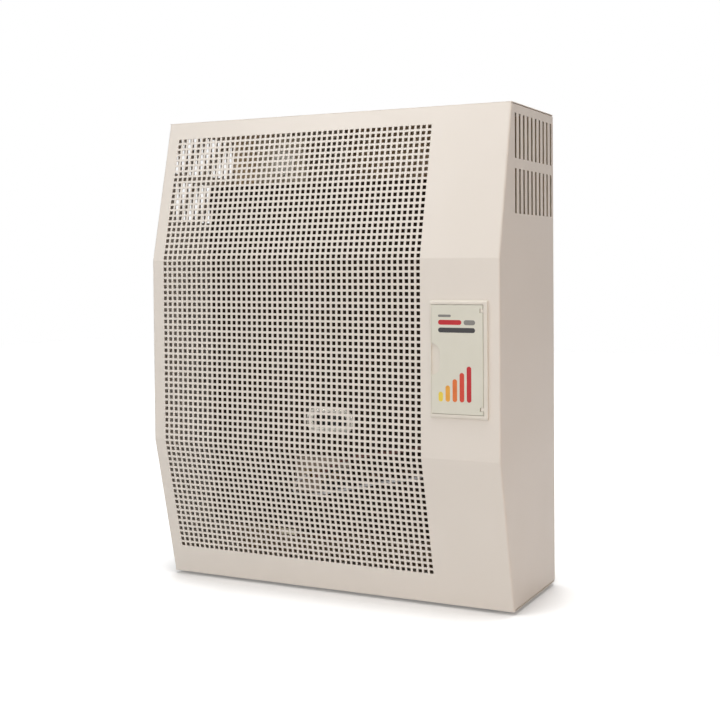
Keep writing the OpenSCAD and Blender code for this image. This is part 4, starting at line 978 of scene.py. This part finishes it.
fit(smooth(bottom), "casing", "bottom_panel", "casing_paint", cream_paint)

# ---------------------------------------------------------------------------------------------
# Side panels: flat sheets that butt against the front's folded edges, each with two rows of ten
# upright slots near the top, and a spot-welded angle behind each end that carries the lids.
# ---------------------------------------------------------------------------------------------
FRONT, KNEE, SLOPE, RETURN = -205.0, 124.0, math.atan(45 / 193.5), 4.0
SLOT_W, SLOT_H, SLOT_PITCH, SLOT_GAP = 7.0, 56.0, 15.2, 13.0
SLOT_BACK, SLOT_TOP, SIDE_Z, JOINT = -9.4, 304.5, 315.2, 2.0
SLOT_CORNER, ANGLE_LEG, ANGLE_SHELF, ANGLE_BEND, ANGLE_HALF, ANGLE_Y = 1.2, 10.0, 12.0, 2.5, 78.0, -80.0
FIELD_BACK, FIELD_TOP = SLOT_BACK + SLOT_PITCH / 2, SLOT_TOP + SLOT_GAP / 2
FIELD_FRONT, FIELD_LOW = FIELD_BACK - 10 * SLOT_PITCH, FIELD_TOP - 2 * (SLOT_H + SLOT_GAP)

side = add("side_sheet_right", "plane", (SLOT_PITCH / 2, (SLOT_H + SLOT_GAP) / 2, 1),
           (RIGHT, SLOT_BACK, SLOT_TOP - SLOT_H / 2), (90, 0, 90))
edit(side, "FACE")
pick_all()
bpy.ops.mesh.inset(thickness=1 * MM)
bpy.ops.transform.resize(value=(1, SLOT_W / (SLOT_PITCH - 2), SLOT_H / (SLOT_H + SLOT_GAP - 2)),
                         center_override=(RIGHT * MM, SLOT_BACK * MM, (SLOT_TOP - SLOT_H / 2) * MM))
bpy.ops.mesh.bevel(offset=SLOT_CORNER * MM, segments=3, affect="VERTICES")
bpy.ops.mesh.delete(type="FACE")
leave()
repeat(side, 10, (0, -SLOT_PITCH, 0))
repeat(side, 2, (0, 0, -(SLOT_H + SLOT_GAP)))
edit(side)
weld()
pick(side, "edges", lambda e, c: e.is_boundary and abs(c.z - FIELD_TOP) < 0.1)
pull((0, 0, SIDE_Z - FIELD_TOP))
pick(side, "edges", lambda e, c: e.is_boundary and abs(c.z - FIELD_LOW) < 0.1)
for step in (KNEE - FIELD_LOW, -2 * KNEE, KNEE - SIDE_Z):
    pull((0, 0, step))
pick(side, "edges", lambda e, c: e.is_boundary and abs(c.y - FIELD_BACK) < 0.1)
pull((0, -FIELD_BACK, 0))
pick(side, "edges", lambda e, c: e.is_boundary and abs(c.y - FIELD_FRONT) < 0.1)
pull((0, FRONT + RETURN - JOINT - FIELD_FRONT, 0))
for way, tilt in ((0, 0), (1, SLOPE), (-1, -SLOPE)):
    pick_all()
    bpy.ops.mesh.bisect(plane_co=(0, (FRONT + RETURN) * MM, way * KNEE * MM),
                        plane_no=(0, math.cos(tilt), -math.sin(tilt)), clear_inner=True)
pick_all()
bpy.ops.mesh.dissolve_limited(angle_limit=math.radians(0.5))
leave()
thicken(side, SHEET)
ease(side, 0.2, 1, 50)
angles = []
for way in (1, -1):
    angle = add("angle", "plane", (ANGLE_HALF, ANGLE_LEG / 2, 1),
                (RIGHT - SHEET, ANGLE_Y, way * (LID_Z - ANGLE_LEG / 2)), (90, 0, 90))
    edit(angle)
    pick(angle, "edges", lambda e, c: abs(c.z - way * LID_Z) < 0.1)
    pull((-ANGLE_SHELF, 0, 0))
    pick(angle, "edges", folds(60))
    bevel(ANGLE_BEND, 4)
    leave()
    angles.append(thicken(angle, SHEET))
side = join("side_sheet_right", side, *angles)
smooth(cut(side, *[drill_up(SCREW_R + 0.1, SIDE_SCREW_X, y) for y in SIDE_SCREW_Y]))
other = copy(side, "side_sheet_left")
other.scale = (-1, 1, 1)
edit(settle(other), "FACE")
turn_out()
fit(side, "casing", "side_panel_right", "casing_paint", cream_paint)
fit(smooth(other), "casing", "side_panel_left", "casing_paint", cream_paint)

# ---------------------------------------------------------------------------------------------
# Front panel: one sheet of 1 mm steel, punched with 49 columns of 5 mm square holes on an 8 mm
# pitch, folded twice across for its three facets and once down each side, then powder coated.
# ---------------------------------------------------------------------------------------------
PITCH, HOLE, COLUMNS, GRILLE_LEFT = 8.0, 5.0, 49, -239.5
ROWS_MID, ROWS_UP, ROWS_LOW, FOLD_R, KNEE_R, RIM_R = 31, 22, 20, 3.0, 0.5, 0.25
GRILLE_RIGHT = GRILLE_LEFT + COLUMNS * PITCH
CUT_LEFT, CUT_RIGHT, CUT_Z = 171.0, 239.3, 70.0


def hole_field(name, rows, way):
    """Rows of punched holes, drawn flat from a fold upwards or downwards."""
    cell = add(name, "plane", (PITCH / 2, PITCH / 2, 1), (GRILLE_LEFT + PITCH / 2, 0, way * PITCH / 2),
               (90, 0, 0))
    edit(cell, "FACE")
    pick_all()
    bpy.ops.mesh.inset(thickness=(PITCH - HOLE) / 2 * MM)
    bpy.ops.mesh.delete(type="FACE")
    leave()
    repeat(cell, COLUMNS, (PITCH, 0, 0))
    repeat(cell, rows, (0, 0, way * PITCH))
    return cell


def lean(o, z, angle):
    """Puts a facet at its fold and leans it back, by an angle in radians."""
    return settle(o, (0, FRONT, z), (math.degrees(angle), 0, 0))


middle = lean(hole_field("middle", ROWS_MID, 1), -KNEE, 0)
upper = lean(hole_field("upper", ROWS_UP, 1), KNEE, -SLOPE)
lower = lean(hole_field("lower", ROWS_LOW, -1), -KNEE, SLOPE)
front = join("front_sheet", middle, upper, lower)
edit(front)
weld()
facet_length = (LID_Z - KNEE) / math.cos(SLOPE)
for way, rows in ((1, ROWS_UP), (-1, ROWS_LOW)):
    blank = facet_length - rows * PITCH
    last_row = way * (KNEE + rows * PITCH * math.cos(SLOPE))
    pick(front, "edges", lambda e, c: e.is_boundary and abs(c.z - last_row) < 0.1)
    pull((0, blank * math.sin(SLOPE), way * blank * math.cos(SLOPE)))
pick(front, "edges", lambda e, c: e.is_boundary and abs(c.x - GRILLE_LEFT) < 0.1)
pull((-RIGHT - GRILLE_LEFT, 0, 0))
pick(front, "edges", lambda e, c: e.is_boundary and abs(c.x - GRILLE_RIGHT) < 0.1)
for step in (CUT_LEFT - GRILLE_RIGHT, CUT_RIGHT - CUT_LEFT, RIGHT - CUT_RIGHT):
    pull((step, 0, 0))
for z in (-CUT_Z, CUT_Z):
    pick(front, "faces", lambda f, c: c.x > GRILLE_RIGHT and abs(c.z) < KNEE)
    bpy.ops.mesh.bisect(plane_co=(0, 0, z * MM), plane_no=(0, 0, 1))
pick(front, "faces", lambda f, c: CUT_LEFT < c.x < CUT_RIGHT and abs(c.z) < CUT_Z)
bpy.ops.mesh.delete(type="FACE")
bpy.ops.mesh.select_mode(type="EDGE")
pick(front, "edges", folds(5))
bevel(KNEE_R, 3)
pick(front, "edges", lambda e, c: e.is_boundary and abs(abs(c.x) - RIGHT) < 0.01)
pull((0, RETURN, 0))
pick(front, "edges", folds(60))
bevel(FOLD_R, 6)
turn_out()
thicken(front, SHEET)


def hole_rim(e, c):
    """An edge where a punched hole meets the outer skin."""
    if not GRILLE_LEFT - 1 < c.x < GRILLE_RIGHT + 1 or abs(c.z) > LID_Z - 5 or len(e.link_faces) != 2:
        return False
    out = [f.normal.y < -0.9 for f in e.link_faces]
    return out[0] != out[1] and e.calc_face_angle(0) > 1


edit(front)
pick(front, "edges", hole_rim)
bevel(RIM_R, 1)
leave()
fit(smooth(front), "casing", "front_panel", "casing_paint", cream_paint)

# ---------------------------------------------------------------------------------------------
# Hatch frame and hinge pins: a cream moulded bezel that clips into the front panel, with the
# well that the door closes into, and two steel pins in its lugs.
# ---------------------------------------------------------------------------------------------
cream_plastic = coat("cream_moulding", "e6dfd4", "e0d8cc", (0.03, 1.2), (0.34, 0.42), (0.8, 0.12, 0.04))
HINGE_X, HINGE_Y, LUG_Z, LUG_HALF, LUG_R, LUG_FILL = 234.2, -206.3, 59.95, 2.0, 2.0, (1.17, 1.05, 1.07)
WELL_LEFT, WELL_IN = 167.2, 0.45
FRAME_Z, DOOR_FRONT, END_ROUND = 73.0, -208.5, 3.3


def pick_corners(o, test):
    """Selects the corners in edit mode that pass a test on their place, in mm."""
    m = bmesh.from_edit_mesh(o.data)
    for v in m.verts:
        v.select = test(v.co / MM)
    m.select_flush_mode()
    bmesh.update_edit_mesh(o.data)


def trim_fit(o):
    """Fills out the hinge lugs to a running fit, narrows the well and rounds the end borders."""
    edit(o, "VERT")
    for way in (-1, 1):
        bpy.ops.mesh.select_all(action="DESELECT")
        pick_corners(o, lambda c: abs(math.hypot(c.x - HINGE_X, c.y - HINGE_Y) - LUG_R) < 0.2
                     and abs(c.z - way * LUG_Z) < LUG_HALF + 0.1)
        bpy.ops.transform.resize(value=LUG_FILL,
                                 center_override=(HINGE_X * MM, HINGE_Y * MM, way * LUG_Z * MM))
    pick_corners(o, lambda c: abs(c.x - WELL_LEFT) < 0.01 and c.y < HINGE_Y)
    bpy.ops.transform.translate(value=(WELL_IN * MM, 0, 0))
    bpy.ops.mesh.select_mode(type="EDGE")
    pick(o, "edges", lambda e, c: abs(abs(c.z) - FRAME_Z) < 0.01 and abs(c.y - DOOR_FRONT) < 0.01)
    bevel(END_ROUND, 5)
    leave()


frame_piece = soften("hatch_bezel", "hatch_frame", 0.5, 3, shape=trim_fit)
fit(frame_piece, "casing", "hatch_frame", "hatch_plastic", cream_plastic)
fit(soften("hinge_pins", "hatch_hinge_pins", 0.2), "casing", "hatch_hinge_pins", "steel", plated_steel)

# ---------------------------------------------------------------------------------------------
# Hatch door: a cream moulded flap with a hinge barrel on its right edge and a finger recess in
# its left. Its front carries a thin film print: plain bars, and a warmth scale rising to red.
# ---------------------------------------------------------------------------------------------
FILM = 0.05
SCALE_LEFT, SCALE_FOOT, SCALE_W, SCALE_STEP = 177.0, -52.0, 6.0, 9.4
SCALE_HEIGHTS = (12.0, 20.0, 28.0, 36.0, 44.0)
INKS = {"ink_yellow": ("f0d95c", "e6c93e"), "ink_amber": ("eeb04a", "e39c35"),
        "ink_orange": ("e37a3a", "d66a2c"), "ink_scarlet": ("d5452f", "c73a28"),
        "ink_red": ("c4232b", "b31b24"), "ink_black": ("3a3839", "2c2b2d"), "ink_grey": ("8b8884", "7b7874")}
PRINT_ROWS = (("ink_black", 177, 33, 226, 39), ("ink_red", 177, 42.5, 208, 48.5),
              ("ink_grey", 211, 42.5, 226, 48.5), ("ink_grey", 177, 52, 194, 55))


def set_back(o):
    """Sets the door's face back by the thickness of its print."""
    edit(o, "VERT")
    bpy.ops.mesh.select_mode(type="FACE")
    pick(o, "faces", lambda f, c: f.normal.y < -0.99 and abs(c.y - DOOR_FRONT) < 0.01)
    bpy.ops.transform.translate(value=(0, FILM * MM, 0))
    leave()


door = soften("hatch_flap", "hatch_door", 0.3, 3, shape=set_back)
door_plastic = coat("door_moulding", "e0ddd0", "dad7c8", (0.03, 1.2), (0.34, 0.42), (0.8, 0.12, 0.04))
fit(door, "hatch_door", "hatch_door", "hatch_plastic", door_plastic)
inks = {name: coat(name, *tones, (0.008, 1.0), (0.3, 0.4), (0.8, 0.08, 0.03)) for name, tones in INKS.items()}


def print_bar(ink, left, low, right, high):
    """A bar of printed film with round ends."""
    o = bar("print", (left, DOOR_FRONT, low), (right, DOOR_FRONT + 3 * FILM, high))
    edit(o)
    pick(o, "edges", runs(1, FILM))
    bevel(min(right - left, high - low) / 2 - 0.05, 8)
    leave()
    return dress(o, inks[ink])


prints = [print_bar(*row) for row in PRINT_ROWS]
for i, (ink, height) in enumerate(zip(INKS, SCALE_HEIGHTS)):
    left = SCALE_LEFT + i * SCALE_STEP
    prints.append(print_bar(ink, left, SCALE_FOOT, left + SCALE_W, SCALE_FOOT + height))
door_print = smooth(join("door_print", *prints))
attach(door_print, "hatch_door")

# ---------------------------------------------------------------------------------------------
# Casing screws: seven pan heads underneath, three into the rear panel's flange and two into each
# side panel's angle.
# ---------------------------------------------------------------------------------------------
CASING_SCREW = (SCREW_R, 6.0, 3.8, 1.8)

screws("bottom_screws", "casing_screws", screw(*CASING_SCREW), CASING_SCREWS, (90, 0, 0))

# ---------------------------------------------------------------------------------------------
# Studio: a pale floor under the heater with a painted contact shadow, a white surround, soft lamps, and the
# camera at the photograph's place.
# ---------------------------------------------------------------------------------------------
FLOOR_Z, FLOOR_SIZE, FLOOR_ALBEDO, FLOOR_ROUGH = -322.0, 4000.0, 0.8, 0.9
SHADOW_REACH, SHADOW_SPAN, FLOOR_GLOW, WORLD_LIGHT = 0.14, (0.5, 0.97), (0.14, 0.8), 0.15


def seen_share(tree):
    """One for the rays that show a surface to the camera, straight on, by reflection or through glass."""
    path = put(tree, "LightPath").outputs
    seen = maths(tree, "MAXIMUM", path["Is Camera Ray"], path["Is Glossy Ray"])
    return maths(tree, "MAXIMUM", seen, path["Is Transmission Ray"])


bpy.context.scene.view_settings.view_transform = "Standard"
floor = add("floor", "plane", (FLOOR_SIZE, FLOOR_SIZE, 1), (0, 0, FLOOR_Z))
studio_floor = bpy.data.materials.new("studio_floor")
studio_floor.use_nodes = True
tree = studio_floor.node_tree
bsdf = tree.nodes["Principled BSDF"]
bsdf.inputs["Base Color"].default_value = (FLOOR_ALBEDO, FLOOR_ALBEDO, FLOOR_ALBEDO, 1)
bsdf.inputs["Roughness"].default_value = FLOOR_ROUGH
bsdf.inputs["Emission Color"].default_value = (1, 1, 1, 1)
# The floor's glow is dimmed by occlusion near the heater: a painted contact shadow
painted_contact_shadow = put(tree, "AmbientOcclusion", {"Distance": SHADOW_REACH}, samples=8)
lift = put(tree, "MapRange", {"Value": painted_contact_shadow.outputs["AO"], "From Min": SHADOW_SPAN[0],
                              "From Max": SHADOW_SPAN[1], "To Min": FLOOR_GLOW[0], "To Max": FLOOR_GLOW[1]})
lift = maths(tree, "MULTIPLY", seen_share(tree), lift.outputs[0])
tree.links.new(lift, bsdf.inputs["Emission Strength"])
dress(floor, studio_floor)

world = bpy.data.worlds.new("studio")
world.use_nodes = True
bpy.context.scene.world = world
tree = world.node_tree
level = put(tree, "MapRange", {"Value": seen_share(tree), "To Min": WORLD_LIGHT, "To Max": 1.0})
tree.nodes["Background"].inputs["Color"].default_value = (1, 1, 1, 1)
tree.links.new(level.outputs[0], tree.nodes["Background"].inputs["Strength"])

LAMPS = (("top", (0.3, -0.8, 2.4), 1.2, 27.3, "ffffff"), ("key", (-1.4, -2.4, 2.0), 0.8, 19.0, "ffffff"),
         ("front", (0.9, -2.8, 0.1), 1.6, 23.5, "ffffff"), ("left", (-2.6, -1.6, 0.4), 1.6, 2.2, "f2f8ff"),
         ("right", (2.2, -1.6, 1.4), 1.4, 6, "ffdcb0"), ("low", (1.3, -0.45, -0.26), 0.5, 1.2, "ffb070"),
         ("back", (-0.4, 2.4, 1.4), 1.6, 20, "ffffff"))
for name, at, size, power, tint in LAMPS:
    lamp = bpy.data.lights.new(name, "AREA")
    lamp.energy, lamp.size, lamp.color = power, size, colour(tint)[:3]
    o = bpy.data.objects.new(name, lamp)
    o.location = at
    o.rotation_euler = (Vector((0, -0.1, 0)) - Vector(at)).to_track_quat("-Z", "Y").to_euler()
    bpy.context.scene.collection.objects.link(o)

data = bpy.data.cameras.new("camera")
data.lens, data.shift_x, data.shift_y = 59.33, -0.0654, -0.1003
camera = bpy.data.objects.new("camera", data)
bpy.context.scene.collection.objects.link(camera)
camera.location = (0.7651, -1.5431, 0.1202)
camera.rotation_euler = [math.radians(a) for a in (88.7394, 0.4109, 25.2554)]
bpy.context.scene.camera = camera
